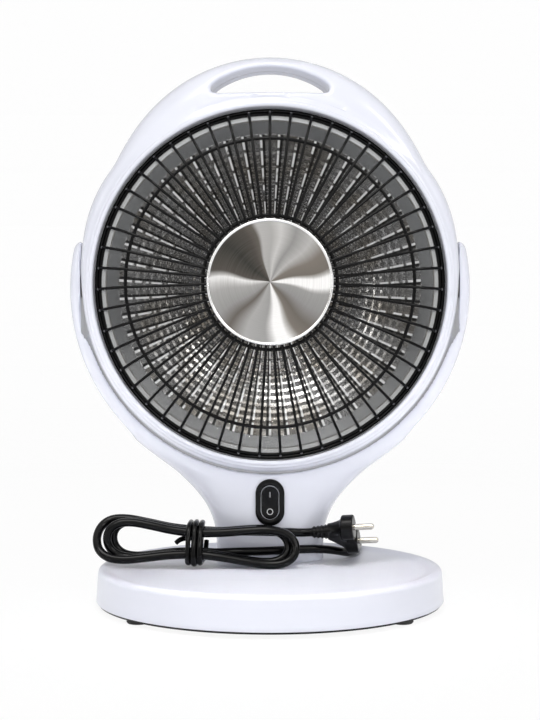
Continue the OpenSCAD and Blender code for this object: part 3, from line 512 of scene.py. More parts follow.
def circle(count, radius=1.0):
    """Points of a circle, as pairs."""
    turns = (2 * math.pi * k / count for k in range(count))
    return [(radius * math.cos(a), radius * math.sin(a)) for a in turns]


def add_part(points, faces, more_points, more_faces):
    """Adds a part's points and faces to the lists of a piece."""
    base = len(points)
    points.extend(more_points)
    faces.extend(tuple(base + v for v in f) for f in more_faces)


def rounded(points, steps=3, ratio=0.25):
    """Cuts a profile's corners, for soft edges."""
    p = np.asarray(points, float)
    for _ in range(steps):
        q = [p[0]]
        for a, b in zip(p[:-1], p[1:]):
            q += [a + (b - a) * ratio, a + (b - a) * (1 - ratio)]
        q.append(p[-1])
        p = np.array(q)
    return p


def turned(name, profile, axis, centre, body, slot, finish=None, replaced=(), steps=144, closed=True):
    """Turns a profile of (radius, height) pairs about Y or Z through centre."""
    points, index = [], []
    for r, h in np.asarray(profile, float):
        row = circle(steps, r) if abs(r) >= 1e-6 else [(0.0, 0.0)]
        index.append(range(len(points), len(points) + len(row)))
        points += [(u, v, h) if axis == "z" else (u, h, v) for u, v in row]
    faces = []
    for lower, upper in zip(index, index[1:] + index[:1] if closed else index[1:]):
        if len(lower) == 1 and len(upper) == 1:
            continue
        for k in range(steps):
            n = (k + 1) % steps
            corners = (lower[k % len(lower)], lower[n % len(lower)], upper[n % len(upper)], upper[k % len(upper)])
            faces.append(list(dict.fromkeys(corners)))
    points = np.array(points) + np.array(centre, float)
    return weighted(outward(piece(name, points, faces, body, slot, finish, replaced)))


def smooth_path(points, steps):
    """Catmull-Rom points through a route."""
    p = np.asarray(points, float)
    out = []
    for i in range(len(p) - 1):
        a, b, c, d = p[max(i - 1, 0)], p[i], p[i + 1], p[min(i + 2, len(p) - 1)]
        for k in range(steps):
            t = k / steps
            cubic = (3 * b - a - 3 * c + d) * t ** 3
            out.append(0.5 * (2 * b + (c - a) * t + (2 * a - 5 * b + 4 * c - d) * t * t + cubic))
    out.append(p[-1])
    return np.array(out)


def frames_along(path):
    """The tangents of a path and two directions across it that don't twist."""
    tangents = np.gradient(path, axis=0)
    tangents /= np.linalg.norm(tangents, axis=1)[:, None]
    side = np.array((0.0, 0.2, 1.0))
    sides = []
    for t in tangents:
        side = side - (side @ t) * t
        side /= np.linalg.norm(side)
        sides.append(side.copy())
    sides = np.array(sides)
    return tangents, sides, np.cross(tangents, sides)


def tube_mesh(path, radius, sides=16):
    """Points and faces of a round tube with domed caps; radius is a number or one per point."""
    path = np.asarray(path, float)
    radius = np.broadcast_to(np.asarray(radius, float), (len(path),))
    t, u, v = frames_along(path)
    points = [path[i] + radius[i] * (c * u[i] + s * v[i]) for i in range(len(path)) for c, s in circle(sides)]
    faces = grid_faces(len(path), sides)
    for end, way in ((0, -1), (len(path) - 1, 1)):
        tip = len(points)
        points.append(path[end] + way * 0.25 * radius[end] * t[end])
        for k in range(sides):
            a, b = end * sides + k, end * sides + (k + 1) % sides
            faces.append((a, b, tip)[::way])
    return points, faces


def contour(field, low, high, step):
    """Quads of the surface where field is 0, its points drawn on to the true surface."""
    axes = [np.arange(a, b + step, step) for a, b in zip(low, high)]
    grid = np.meshgrid(*axes, indexing="ij")
    f = field(np.stack([g.ravel() for g in grid], 1)).reshape(grid[0].shape)
    n = np.array(f.shape)
    cells = tuple(n - 1)
    total, weight = np.zeros(cells + (3,)), np.zeros(cells)
    origin = np.array([a[0] for a in axes])
    cube = [(i, j, k) for i in (0, 1) for j in (0, 1) for k in (0, 1)]
    for a in cube:
        for axis in range(3):
            if a[axis] == 1:
                continue
            b = list(a)
            b[axis] = 1
            fa = f[a[0]:cells[0] + a[0], a[1]:cells[1] + a[1], a[2]:cells[2] + a[2]]
            fb = f[b[0]:cells[0] + b[0], b[1]:cells[1] + b[1], b[2]:cells[2] + b[2]]
            crosses = (fa < 0) != (fb < 0)
            t = np.where(crosses, fa / np.where(crosses, fa - fb, 1.0), 0.0)
            for m in range(3):
                total[..., m] += crosses * (a[m] + (t if m == axis else 0.0))
            weight += crosses
    active = weight > 0
    index = np.full(cells, -1)
    index[active] = np.arange(active.sum())
    where = np.argwhere(active)
    points = origin + step * (where + total[active] / weight[active][:, None])
    faces = []
    inside = f < 0
    for axis in range(3):
        o1, o2 = [(1, 2), (2, 0), (0, 1)][axis]
        lo = [slice(1, -1)] * 3
        lo[axis] = slice(0, -1)
        hi = [slice(1, -1)] * 3
        hi[axis] = slice(1, None)
        a, b = inside[tuple(lo)], inside[tuple(hi)]
        spots = np.argwhere(a != b)
        flip = a[tuple(spots.T)]
        base = spots.copy()
        for m in range(3):
            if m != axis:
                base[:, m] += 1
        quad = []
        for d1, d2 in ((0, 0), (1, 0), (1, 1), (0, 1)):
            c = base.copy()
            c[:, o1] -= d1
            c[:, o2] -= d2
            quad.append(index[tuple(c.T)])
        quad = np.stack(quad, 1)
        quad[flip] = quad[flip][:, ::-1]
        faces.append(quad[:, ::-1])
    faces = np.concatenate(faces)
    for _ in range(3):
        value, slope = field(points), gradient(field, points)
        size = np.maximum((slope ** 2).sum(1), 1e-6)
        move = -(value / size)[:, None] * slope
        length = np.linalg.norm(move, axis=1)
        points = points + move * np.minimum(1.0, step / np.maximum(length, 1e-9))[:, None]
    return points, faces


def gradient(field, points, h=0.05):
    """The field's slope at points, along each axis."""
    return np.stack([(field(points + d) - field(points - d)) / (2 * h) for d in np.eye(3) * h], 1)


def field_normals(obj, field, keep=0.75):
    """Shades a mesh by the field's own slope, and its cut faces flat."""
    mesh = obj.data
    points = np.empty(len(mesh.vertices) * 3)
    mesh.vertices.foreach_get("co", points)
    slope = gradient(field, points.reshape(-1, 3) / MM)
    slope /= np.maximum(np.linalg.norm(slope, axis=1), 1e-9)[:, None]
    loops = []
    for poly in mesh.polygons:
        n = np.array(poly.normal)
        for v in poly.vertices:
            loops.append(slope[v] if slope[v] @ n > keep else n)
    mesh.normals_split_custom_set([tuple(n) for n in loops])
    return obj


def smooth_min(a, b, k):
    """The lower of two fields, blended over k."""
    h = np.clip(0.5 + 0.5 * (b - a) / k, 0, 1)
    return b * (1 - h) + a * h - k * h * (1 - h)


def smooth_max(a, b, k):
    """The higher of two fields, blended over k."""
    return -smooth_min(-a, -b, k)


def halves(obj, level):
    """Cuts a mesh at y = level and gives (front, back) meshes, a hair apart."""
    made = []
    for side, name in ((-1, "front"), (1, "back")):
        bm = bmesh.new()
        bm.from_mesh(obj.data)
        cut = bmesh.ops.bisect_plane(
            bm, geom=bm.verts[:] + bm.edges[:] + bm.faces[:], plane_co=(0, (level + side * 0.12) * MM, 0),
            plane_no=(0, 1, 0), clear_outer=side < 0, clear_inner=side > 0)
        bmesh.ops.holes_fill(bm, edges=[e for e in cut["geom_cut"] if isinstance(e, bmesh.types.BMEdge)])
        mesh = bpy.data.meshes.new(name)
        bm.to_mesh(mesh)
        bm.free()
        made.append(mesh)
    return made


# ------------------------------------------------------------- geometry nodes


class Garden:
    """Builds one Geometry Nodes tree."""

    def __init__(self, name, inputs=()):
        self.tree = bpy.data.node_groups.new(name, "GeometryNodeTree")
        self.tree.interface.new_socket("Geometry", in_out="INPUT", socket_type="NodeSocketGeometry")
        for label, kind, value in inputs:
            made = self.tree.interface.new_socket(label, in_out="INPUT", socket_type=kind)
            made.default_value = value
        self.tree.interface.new_socket("Geometry", in_out="OUTPUT", socket_type="NodeSocketGeometry")
        self.start = self.tree.nodes.new("NodeGroupInput")
        self.end = self.tree.nodes.new("NodeGroupOutput")

    def given(self, name):
        """The tree's own input of that name."""
        return self.start.outputs[name]

    def node(self, kind, settings=None, inputs=None, output=0):
        made = self.tree.nodes.new(kind)
        for key, value in (settings or {}).items():
            setattr(made, key, value)
        for key, value in (inputs or {}).items():
            if isinstance(value, bpy.types.NodeSocket):
                self.tree.links.new(value, made.inputs[key])
            else:
                made.inputs[key].default_value = value
        return made.outputs[output]

    def finish(self, geometry, material):
        """Ends the tree with real meshes in one material."""
        real = self.node("GeometryNodeRealizeInstances", {}, {"Geometry": geometry})
        painted = self.node("GeometryNodeSetMaterial", {}, {"Geometry": real, "Material": material})
        self.tree.links.new(painted, self.end.inputs[0])
        return self.tree


def grown(name, seed, tree, values, body, slot, finish=None, replaced=(), smooth=True):
    """Runs a tree on a seed object and keeps the plain mesh it makes."""
    bpy.context.scene.collection.objects.link(seed)
    modifier = seed.modifiers.new("Grow", "NODES")
    modifier.node_group = tree
    names = {item.name: item.identifier for item in tree.interface.items_tree if item.in_out == "INPUT"}
    for key, value in values.items():
        modifier[names[key]] = value
    depsgraph = bpy.context.evaluated_depsgraph_get()
    depsgraph.update()
    mesh = bpy.data.meshes.new_from_object(seed.evaluated_get(depsgraph))
    mesh.name = name
    bpy.data.objects.remove(seed)
    return settle(name, mesh, body, slot, finish, replaced, smooth)


def line_object(name, points):
    """A curve of one open poly spline, in metres, as the seed of a tree."""
    curve = bpy.data.curves.new(name, "CURVE")
    curve.dimensions = "3D"
    spline = curve.splines.new("POLY")
    spline.points.add(len(points) - 1)
    for target, p in zip(spline.points, points):
        target.co = (p[0] * MM, p[1] * MM, p[2] * MM, 1.0)
    return bpy.data.objects.new(name, curve)


# ----------------------------------------------------------------------- head


def egg(a):
    """Distance of the head's widest line from its axis, a radians from the top."""
    b = np.degrees(np.abs((np.asarray(a) + np.pi) % (2 * np.pi) - np.pi))
    arch = (np.maximum(0, np.cos(a) - 0.6) / 0.4) ** 1.25
    shoulder = np.where(b < 57, 1.0, np.where(b > 98, 0.0, 0.5 + 0.5 * np.cos(np.radians((b - 57) * 4.39))))
    return HEAD_R + HANDLE_H * (0.79 * arch + 0.21 * shoulder)


def lean(a):
    """How far the face's edge leans back towards the handle."""
    return 10 * np.maximum(0, np.cos(a)) ** 3


def polar(x, z):
    """Turn from the top and distance from the head's axis."""
    x, z = np.asarray(x, float), np.asarray(z, float)
    return np.arctan2(x, z - PIVOT[2]), np.hypot(x, z - PIVOT[2])


def face_depth(x, z):
    """Y of the front housing's face at a place seen from the front."""
    a, r = polar(x, z)
    ro = egg(a)
    s = np.clip((r - FACE_R) / (ro - FACE_R), 0, 0.9999)
    return FRONT_Y + 3 + (ROUND_Y + lean(a) - FRONT_Y - 3) * (1 - np.sqrt(1 - s * s))


def dome(a, v):
    """Distance of the back housing from the axis, v being the share of its depth."""
    v = np.asarray(v, float)
    fade = 0.5 + 0.5 * np.cos(np.radians((v - 0.08) * 428.6))
    fade = np.where(v < 0.08, 1.0, np.where(v > 0.5, 0.0, fade))
    flat = VENT_R + 2
    return flat + (HEAD_R - flat) * np.maximum(0, 1 - v ** 2.4) ** (1 / 2.4) + (egg(a) - HEAD_R) * fade


def back_depth(x, z):
    """Y of the back housing at a place seen from behind."""
    a, r = polar(x, z)
    low, high = np.zeros_like(r), np.full_like(r, 0.95)
    for _ in range(24):
        mid = (low + high) / 2
        outside = dome(a, mid) > r
        low, high = np.where(outside, mid, low), np.where(outside, high, mid)
    return PART_Y + BACK_D * low


def grip_loop():
    """The edge of the handle's opening, as a smoothed loop of even points."""
    low, drop = GRIP_TOP - GRIP_H, GRIP_H * 0.7
    radius = (GRIP_HALF ** 2 + drop ** 2) / (2 * drop)
    t = np.linspace(0, 1, 60)
    x = GRIP_HALF - 2 * GRIP_HALF * t
    arc = np.stack([x, GRIP_TOP - radius + np.sqrt(radius ** 2 - x ** 2)], 1)
    bottom = np.stack([-x, low + 0.9 * (1 - (2 * t - 1) ** 2)], 1)
    side = np.linspace(0, 1, 12)[1:-1, None]
    right = bottom[-1] + (arc[0] - bottom[-1]) * side
    left = arc[-1] + (bottom[0] - arc[-1]) * side
    p = resample(np.concatenate([bottom, right, arc, left, bottom[:1]]), 480)[:-1]
    for _ in range(220):
        p = 0.5 * p + 0.25 * (np.roll(p, 1, 0) + np.roll(p, -1, 0))
    centre = p.mean(0)
    return centre + (p - centre) * np.array([GRIP_HALF / np.abs(p[:, 0] - centre[0]).max(), 1.0])


def resample(p, count):
    """A run of points as count even steps."""
    length = np.r_[0, np.cumsum(np.linalg.norm(np.diff(p, axis=0), axis=1))]
    even = np.linspace(0, length[-1], count + 1)
    return np.stack([np.interp(even, length, p[:, m]) for m in range(p.shape[1])], 1)


def opening_rim(sizes):
    """The opening's edge in four runs of the given sizes, and the direction out of it."""
    loop = grip_loop()
    low, high = GRIP_TOP - GRIP_H + 0.5, GRIP_TOP - 12.6
    corners = ((-38, low), (38, low), (38.5, high), (-38.5, high))
    near = [np.argmin(np.hypot(loop[:, 0] - x, loop[:, 1] - z)) for x, z in corners]
    runs = []
    for k, size in enumerate(sizes):
        a, b = near[k], near[(k + 1) % 4]
        run = loop[a:b + 1] if b > a else np.r_[loop[a:], loop[:b + 1]]
        runs.append(resample(run, size)[:-1])
    rim = np.concatenate(runs)
    along = np.roll(rim, -1, 0) - np.roll(rim, 1, 0)
    out = np.stack([along[:, 1], -along[:, 0]], 1)
    out /= np.linalg.norm(out, axis=1)[:, None]
    if ((rim - rim.mean(0)) * out).sum() < 0:
        out = -out
    return rim, out


def housing_skin(depth, section, patch, edge_y, roll=3.2):
    """Grid of a housing with the handle's opening worked into it.

    section(a) gives rows of (r, y), patch is the span of rows round the opening, and the opening's
    edge rolls in from the face's depth to edge_y."""
    sections = [section(2 * math.pi * i / COLUMNS) for i in range(COLUMNS)]
    rows, (r0, r1) = len(sections[0]), patch
    points, faces = [], []
    for (c, s), around in zip(circle(COLUMNS), sections):
        points += [(r * s, y, PIVOT[2] + r * c) for r, y in around]
    hole = {(i % COLUMNS, j) for i in range(-PATCH, PATCH) for j in range(r0, r1)}
    for i in range(COLUMNS):
        for j in range(rows - 1):
            if (i, j) not in hole:
                a, b = i * rows + j, (i + 1) % COLUMNS * rows + j
                faces.append((a, b, b + 1, a + 1))
    low = [i % COLUMNS * rows + r0 for i in range(-PATCH, PATCH)]
    right = [PATCH * rows + j for j in range(r0, r1)]
    high = [i % COLUMNS * rows + r1 for i in range(PATCH, -PATCH, -1)]
    left = [-PATCH % COLUMNS * rows + j for j in range(r1, r0, -1)]
    previous = low + right + high + left
    edge = np.array([(points[b][0], points[b][2]) for b in previous])
    rim, out = opening_rim([len(side) for side in (low, right, high, left)])
    way = 1 if depth is face_depth else -1

    def ring(places, y):
        return bridge(points, faces, previous, np.stack([places[:, 0], y, places[:, 1]], 1))

    for k in range(1, 7):
        t = k / 6
        t = t * t * (3 - 2 * t)
        here = edge * (1 - t) + (rim + out * roll) * t
        previous = ring(here, depth(*here.T))
    for d in (0.72, 0.46, 0.24, 0.09, 0.0):
        here = rim + out * roll * d
        previous = ring(here, depth(*here.T) + way * roll * (1 - math.sqrt(1 - (1 - d) ** 2)))
    last = np.array([points[i][1] for i in previous])
    for t in (0.3, 0.7, 1.0):
        previous = ring(rim, last * (1 - t) + edge_y * t)
    return np.array(points), faces


def bridge(points, faces, previous, ring):
    """Adds a ring of points and joins it to the previous one."""
    start = len(points)
    points.extend([tuple(p) for p in ring])
    n = len(ring)
    made = [start + k for k in range(n)]
    for k in range(n):
        m = (k + 1) % n
        faces.append((previous[k], previous[m], made[m], made[k]))
    return made


def bezel_rows():
    """The bezel's rings before the housing's face: lip, two soft grooves."""
    lip = ((0, 11.0), (0, 6.0), (0, 1.6), (0.12, 0.8), (0.55, 0.2), (1.3, 0))
    grooves = ((0.7, 0.12), (1.2, 0.55), (1.5, 1.0), (1.8, 1.25), (2.2, 1.35), (2.6, 1.45))
    return [(MOUTH_R + r, FRONT_Y + y) for r, y in lip] + [(BEZEL_R + r, FRONT_Y + y) for r, y in grooves]


def front_section(a):
    """Rings of the front housing, a from the top: bezel, face, and the side to the parting line."""
    ro, wide = float(egg(a)), ROUND_Y + float(lean(a))
    start_y = FRONT_Y + 3
    rows = bezel_rows()
    face = len(rows)
    for k in range(19):
        t = math.radians(90 * k / 18)
        rows.append((FACE_R + (ro - FACE_R) * math.sin(t), start_y + (wide - start_y) * (1 - math.cos(t))))
    for k, sink in enumerate((1.25, 0.7, 0.25)):
        rows[face + k] = (rows[face + k][0], rows[face + k][1] - sink)
    rows += [(ro, wide * 0.5 + PART_Y * 0.5), (ro - 0.1, PART_Y - 0.5), (ro - 0.35, PART_Y - 0.15)]
    return rows


def back_section(a):
    """Rings of the back housing, a from the top, from the parting line to the vent's edge."""
    stops = [0.003, 0.01, 0.04] + [0.08 + 0.035 * k for k in range(25)] + [0.95, 0.972, 0.985]
    rows = [(float(dome(a, 0)) - 0.35, PART_Y + 0.15)]
    rows += [(float(dome(a, v)), PART_Y + BACK_D * v) for v in stops]
    rows += [(VENT_R + 2.6, BACK_Y - 0.35), (VENT_R + 1.2, BACK_Y), (VENT_R, BACK_Y), (VENT_R, BACK_Y - 2)]
    return rows


def walled(obj):
    """Gives an open skin its wall, on the inside."""
    modifier = obj.modifiers.new("Wall", "SOLIDIFY")
    modifier.thickness = bpy.context.scene.heater_sizes.shell_wall
    modifier.offset = -1.0
    modifier.use_even_offset = False
    return baked(obj)


def baked(obj):
    """Applies an object's modifiers to its mesh."""
    depsgraph = bpy.context.evaluated_depsgraph_get()
    depsgraph.update()
    mesh = bpy.data.meshes.new_from_object(obj.evaluated_get(depsgraph))
    obj.modifiers.clear()
    obj.data = mesh
    return obj


def face_out(obj):
    """Turns an open skin right side out, by how its faces look from its middle."""
    middle = Vector((0.0, PART_Y * MM, PIVOT[2] * MM))
    if sum(poly.area * (poly.center - middle).dot(poly.normal) for poly in obj.data.polygons) < 0:
        obj.data.flip_normals()


def row_at(rows, radius, first):
    """The row, from first on, that is nearest to a radius."""
    return min(range(first, len(rows)), key=lambda j: abs(rows[j][0] - radius))


def make_housing(name, node, depth, section, patch, edge_y):
    """One of the head's two shells."""
    points, faces = housing_skin(depth, section, patch, edge_y)
    obj = outward(piece(name, points, faces, "head", "white_shell", "white_head", [node]))
    face_out(obj)
    return walled(obj)


def make_head_front():
    """The front shell with the ring round the mouth."""
    first = len(bezel_rows()) + 1
    patch = (first, row_at(front_section(0.0), PATCH_OUT, first + 1))
    weighted(make_housing("head_front_housing", "head_front", face_depth, front_section, patch, PART_Y - 0.15), 40)


def cut(obj, tools):
    """Takes the tools' shapes out of a piece."""
    mesh = bpy.data.meshes.new("tools")
    bm = bmesh.new()
    for tool in tools:
        tool(bm)
    bm.to_mesh(mesh)
    bm.free()
    cutter = bpy.data.objects.new("cutter", mesh)
    bpy.context.scene.collection.objects.link(cutter)
    modifier = obj.modifiers.new("Cut", "BOOLEAN")
    modifier.operation, modifier.solver, modifier.object = "DIFFERENCE", "EXACT", cutter
    baked(obj)
    bpy.data.objects.remove(cutter)
    return obj


def prism(outline, y0, y1):
    """A tool for cutting: an outline of (x, z) points, from y0 to y1."""
    def build(bm):
        low, high = [[bm.verts.new((x * MM, y * MM, z * MM)) for x, z in outline] for y in (y0, y1)]
        made = [bm.faces.new(low), bm.faces.new(high[::-1])]
        for k in range(len(outline)):
            n = (k + 1) % len(outline)
            made.append(bm.faces.new((low[k], high[k], high[n], low[n])))
        bmesh.ops.recalc_face_normals(bm, faces=made)
    return build


def slot_tool(angle, y0, y1):
    """A round-ended radial bar that cuts a cooling slot."""
    s, c = math.sin(angle), math.cos(angle)
    outline = []
    for k in range(16):
        a = math.pi * (k / 7.0 if k < 8 else 1 + (k - 8) / 7.0)
        along = (SLOT_OUT - SLOT_HALF if k < 8 else SLOT_IN + SLOT_HALF) + SLOT_HALF * math.sin(a)
        across = SLOT_HALF * math.cos(a)
        outline.append((s * along + c * across, PIVOT[2] + c * along - s * across))
    return prism(outline, y0, y1)


def round_tool(x, z, r, y0, y1):
    """A round bar that cuts a screw's well."""
    return prism([(x + u, z + v) for u, v in circle(24, r)], y0, y1)


def on_head_circle(radius, angle):
    """(x, z) at a distance from the head's axis, angle degrees from the top."""
    return radius * math.sin(math.radians(angle)), radius * math.cos(math.radians(angle))


HEAD_SCREWS = [on_head_circle(HEAD_SCREW_R, a) for a in HEAD_SCREW_AT]


def neck_back_y(x, z):
    """Y of the neck's back face."""
    return NECK_Y + NECK_D / 2 * (1 - (abs(x) / float(neck_half(z))) ** 3) ** (1 / 3)


def make_screws():
    """Pan-head screws with a cross recess, grown at their places."""
    head = [(x, SCREW_SEAT_Y + 0.1, PIVOT[2] + z) for x, z in HEAD_SCREWS]
    neck = [(x, neck_back_y(x, z) - 0.55, z) for x, z in NECK_SCREWS]
    for name, spots, radius, body in (
        ("head_screw_heads", head, 2.9, "head"), ("neck_screw_heads", neck, 3.0, "stand"),
    ):
        seed = bpy.data.objects.new("seed", mesh_of("screw_places", spots))
        weighted(grown(name, seed, screw_tree(name), {"Head radius": radius * MM}, body, "screw_steel"), 40)


def screw_tree(name):
    """A tree that puts a screw's head at each point of its seed."""
    g = Garden(name, (("Head radius", "NodeSocketFloat", 3.0 * MM),))
    disc = g.node("GeometryNodeMeshCylinder", {}, {
        "Vertices": 24, "Radius": g.given("Head radius"), "Depth": 1.2 * MM})
    length, width, depth = 3.4 * MM, 0.75 * MM, 1.0 * MM
    first = g.node("GeometryNodeMeshCube", {}, {"Size": (length, width, depth)})
    second = g.node("GeometryNodeMeshCube", {}, {"Size": (width, length, depth)})
    cross = g.node("GeometryNodeMeshBoolean", {"operation": "UNION"}, {"Mesh 2": first})
    g.tree.links.new(second, cross.node.inputs["Mesh 2"])
    lifted = g.node("GeometryNodeTransform", {}, {"Geometry": cross, "Translation": (0.0, 0.0, 0.45 * MM)})
    marked = g.node("GeometryNodeMeshBoolean", {"operation": "DIFFERENCE"}, {"Mesh 1": disc, "Mesh 2": lifted})
    upright = g.node("GeometryNodeTransform", {}, {"Geometry": marked, "Rotation": (-math.pi / 2, 0.35, 0.0)})
    placed = g.node("GeometryNodeInstanceOnPoints", {}, {"Points": g.given("Geometry"), "Instance": upright})
    return g.finish(placed, FINISH["screw_steel"])


def make_screw_wells():
    """Sleeves that lead to the head's screws."""
    points, faces = [], []
    for x, z in HEAD_SCREWS:
        z += PIVOT[2]
        top = float(back_depth([x], [z])[0]) - 1.3
        wide = WELL_R + 1.1
        rings = ((WELL_R, top), (wide, top), (wide, SCREW_SEAT_Y), (WELL_R, SCREW_SEAT_Y))
        sleeve = [(x + u, y, z + v) for r, y in rings for u, v in circle(24, r)]
        add_part(points, faces, sleeve, grid_faces(4, 24, True))
    weighted(outward(piece("head_screw_wells", points, faces, "head", "white_shell")))


def make_head_back():
    """The back shell with its cooling slots and screw wells cut through."""
    rows = back_section(0.0)
    last = len(rows) - 1
    patch = (last - row_at(rows, PATCH_IN, 1), last - row_at(rows, PATCH_OUT, 1))

    def section(a):
        return back_section(a)[::-1]

    obj = make_housing("head_back_housing", "head_back", back_depth, section, patch, PART_Y + 0.15)
    tools = [slot_tool(2 * math.pi * (i + 0.5) / SLOTS, SLOT_FROM, CUT_TO) for i in range(SLOTS)]
    tools += [round_tool(x, PIVOT[2] + z, WELL_R, WELL_FROM, CUT_TO) for x, z in HEAD_SCREWS]
    make_screw_wells()
    weighted(cut(obj, tools), 40)


# ----------------------------------------------------------------------- fork


def neck_half(z):
    """Half the neck's width at a height."""
    t = np.clip((z - DISH_Z) / (NECK_TOP - DISH_Z), 0, 1)
    return NECK_W / 2 + NECK_FLARE * t ** (3.2 - 1.4 * t)


# The room beside the head widens from a distance to another round the tilt axis
GAP_SLOPE, GAP_FROM, GAP_TO = 0.7, 36, 50
# The block that holds the neck and its arms, and the size of the cells it is searched in
FORK_BOX, FORK_STEP = ((-138.2, 22.0, 20.6), (138.2, 72.0, 238.4)), 1.5


def fork_field(p):
    """Distance to the neck and its arms, with room for the head between them."""
    x, y, z = p[:, 0], p[:, 1], p[:, 2]
    a, b = neck_half(z), NECK_D / 2
    neck = (((np.abs(x) / a) ** 3 + (np.abs(y - NECK_Y) / b) ** 3) ** (1 / 3) - 1) * b
    neck = smooth_max(neck, z - (NECK_TOP + 6), 3.0)
    r = np.hypot(x, z - PIVOT[2] + ARM_DROP)
    qx = np.abs(r - (FORK_R - ARM_W / 2)) - (ARM_W / 2 - ARM_ROUND)
    qy = np.abs(y - PIVOT[1]) - (ARM_D / 2 - ARM_ROUND)
    arms = np.hypot(np.maximum(qx, 0), np.maximum(qy, 0)) + np.minimum(np.maximum(qx, qy), 0) - ARM_ROUND
    arms = smooth_max(arms, z - (PIVOT[2] + EAR_H), 7.0)
    whole = smooth_min(neck, arms, 5.0)
    around = np.hypot(y - PIVOT[1], z - PIVOT[2])
    ball = np.hypot(x, around) - CLEAR_R
    cone = (np.abs(x) - EAR_IN + GAP_SLOPE * np.maximum(around - GAP_FROM, 0)) * 0.82
    whole = smooth_max(whole, -ball, 1.6)
    whole = smooth_max(whole, -np.maximum(cone, around - GAP_TO), 1.2)
    return np.maximum(whole, DISH_Z - z)


def make_fork():
    """The neck with its arms, parted into a front and a back shell."""
    points, faces = contour(fork_field, *FORK_BOX, FORK_STEP)
    block = piece("fork_block", points, faces, "stand", "white_shell", "white_fork")
    front, back = halves(block, PIVOT[1])
    bpy.data.objects.remove(block)
    for mesh, name, node in (
        (front, "neck_front_shell", "neck_front"), (back, "neck_back_shell", "neck_back"),
    ):
        obj = settle(name, mesh, "stand", "white_shell", "white_fork", [node])
        if node == "neck_back":
            cut(obj, [round_tool(x, z, RECESS_R, neck_back_y(x, z) - 1.3, 90) for x, z in NECK_SCREWS])
        field_normals(obj, fork_field)


# ----------------------------------------------------------------------- base


def make_base():
    """The base's cover: a shallow dish, a soft rim and a side that turns down."""
    top = rounded([
        (DISH_R - 8, DISH_Z), (DISH_R, DISH_Z), (DISH_R + 4, DISH_Z + 1.2), (DISH_R + 7, RIM_Z - 0.2),
        (TOP_R - 4, RIM_Z), (TOP_R - 1.4, RIM_Z - 0.5), (TOP_R - 0.2, RIM_Z - 2.2), (TOP_R, RIM_Z - 4.4),
        (BASE_R - 0.5, COVER_Z + 3)])
    under = [
        (BASE_R - 0.15, COVER_Z + 0.5), (BASE_R - 0.4, COVER_Z), (BASE_R - 2.3, COVER_Z),
        (BASE_R - COVER_WALL, COVER_Z + 0.4), (TOP_R - COVER_WALL, RIM_Z - 4.5), (TOP_R - 4.5, RIM_Z - COVER_WALL),
        (DISH_R + 6, RIM_Z - 2.8), (DISH_R, DISH_Z - COVER_WALL), (0, DISH_Z - COVER_WALL)]
    profile = [(0, DISH_Z), (60, DISH_Z)] + [tuple(p) for p in top] + under
    turned("base_shell", profile, "z", (0, 0, 0), "stand", "white_shell", "white_base", ["base_cover"], 192, False)


# ---------------------------------------------------------- reflector, element


def make_reflector():
    """The bowl with its faint steps, a rolled lip and the flange behind the guard."""
    radii = np.linspace(26, BOWL_R, 160)
    bowl = BOWL_Y + BOWL_D * (1 - (radii / BOWL_R) ** 2) * 1.06
    bowl = np.minimum(bowl, PAD_Y) + 0.05 * np.sin(2 * np.pi * radii / 4.6) * (radii < 92)
    bowl[-1] = BOWL_Y
    inner = list(zip(radii, bowl))
    lip = [
        (BOWL_R + 0.15, BOWL_Y - 0.9), (BOWL_R + 0.7, FLANGE_Y + 0.3), (BOWL_R + 2, FLANGE_Y),
        (BOWL_R + 4, FLANGE_Y), (FLANGE_R - 0.4, FLANGE_Y), (FLANGE_R, FLANGE_Y + 0.2),
        (FLANGE_R, FLANGE_Y + SHEET), (BOWL_R + 2, FLANGE_Y + SHEET), (BOWL_R + 0.9, BOWL_Y + 0.6)]
    outer = [(r, y + SHEET) for r, y in inner[:-1][::-1][::6]] + [(PAD_R, PAD_Y + SHEET)]
    profile = [(PAD_R, PAD_Y)] + inner + lip + outer
    turned("reflector_bowl", profile, "y", HEAD_AXIS, "head", "reflector_sheet", None, ["reflector"], 192)


def make_element():
    """The ceramic core with its thread, and the wire wound on it."""
    tip, foot, last = PAD_Y - CORE_L, PAD_Y - 4, CORE_L - 8
    t = np.linspace(0, 1, 24 * COIL_TURNS + 1)
    y = (PAD_Y - 7) + (tip + 14 - PAD_Y) * t
    r = CORE_R * (1 - 0.28 * (foot - y) / last) + COIL_R - 0.3
    turn = 2 * np.pi * COIL_TURNS * t
    points, faces = tube_mesh(np.stack([r * np.cos(turn), y, PIVOT[2] + r * np.sin(turn)], 1), COIL_R, 10)
    outward(piece("heating_coil", points, faces, "head", "heating_wire", None, ["element_coil"]))
    core = [(0, tip), (6.6, tip), (7.7, tip + 0.4), (9.4, tip + 1.5), (10.0, tip + 4)]
    for k in range(COIL_TURNS + 2):
        h = tip + 6 + k * (CORE_L - 12) / (COIL_TURNS + 1)
        wide = CORE_TIP_R + (CORE_R - CORE_TIP_R) * (h - tip - 4) / last
        core += [(wide, h - 1.0), (wide - 0.5, h - 0.3), (wide - 0.5, h + 0.3), (wide, h + 1.0)]
    core += [
        (CORE_R, foot), (CORE_R, PAD_Y + 1), (CORE_FOOT_R, PAD_Y + 1), (CORE_FOOT_R, CORE_FOOT_Y),
        (0, CORE_FOOT_Y)]
    turned("ceramic_core", core, "y", HEAD_AXIS, "head", "ceramic", None, ["element_core"], 64, False)


# ---------------------------------------------------------------------- guard


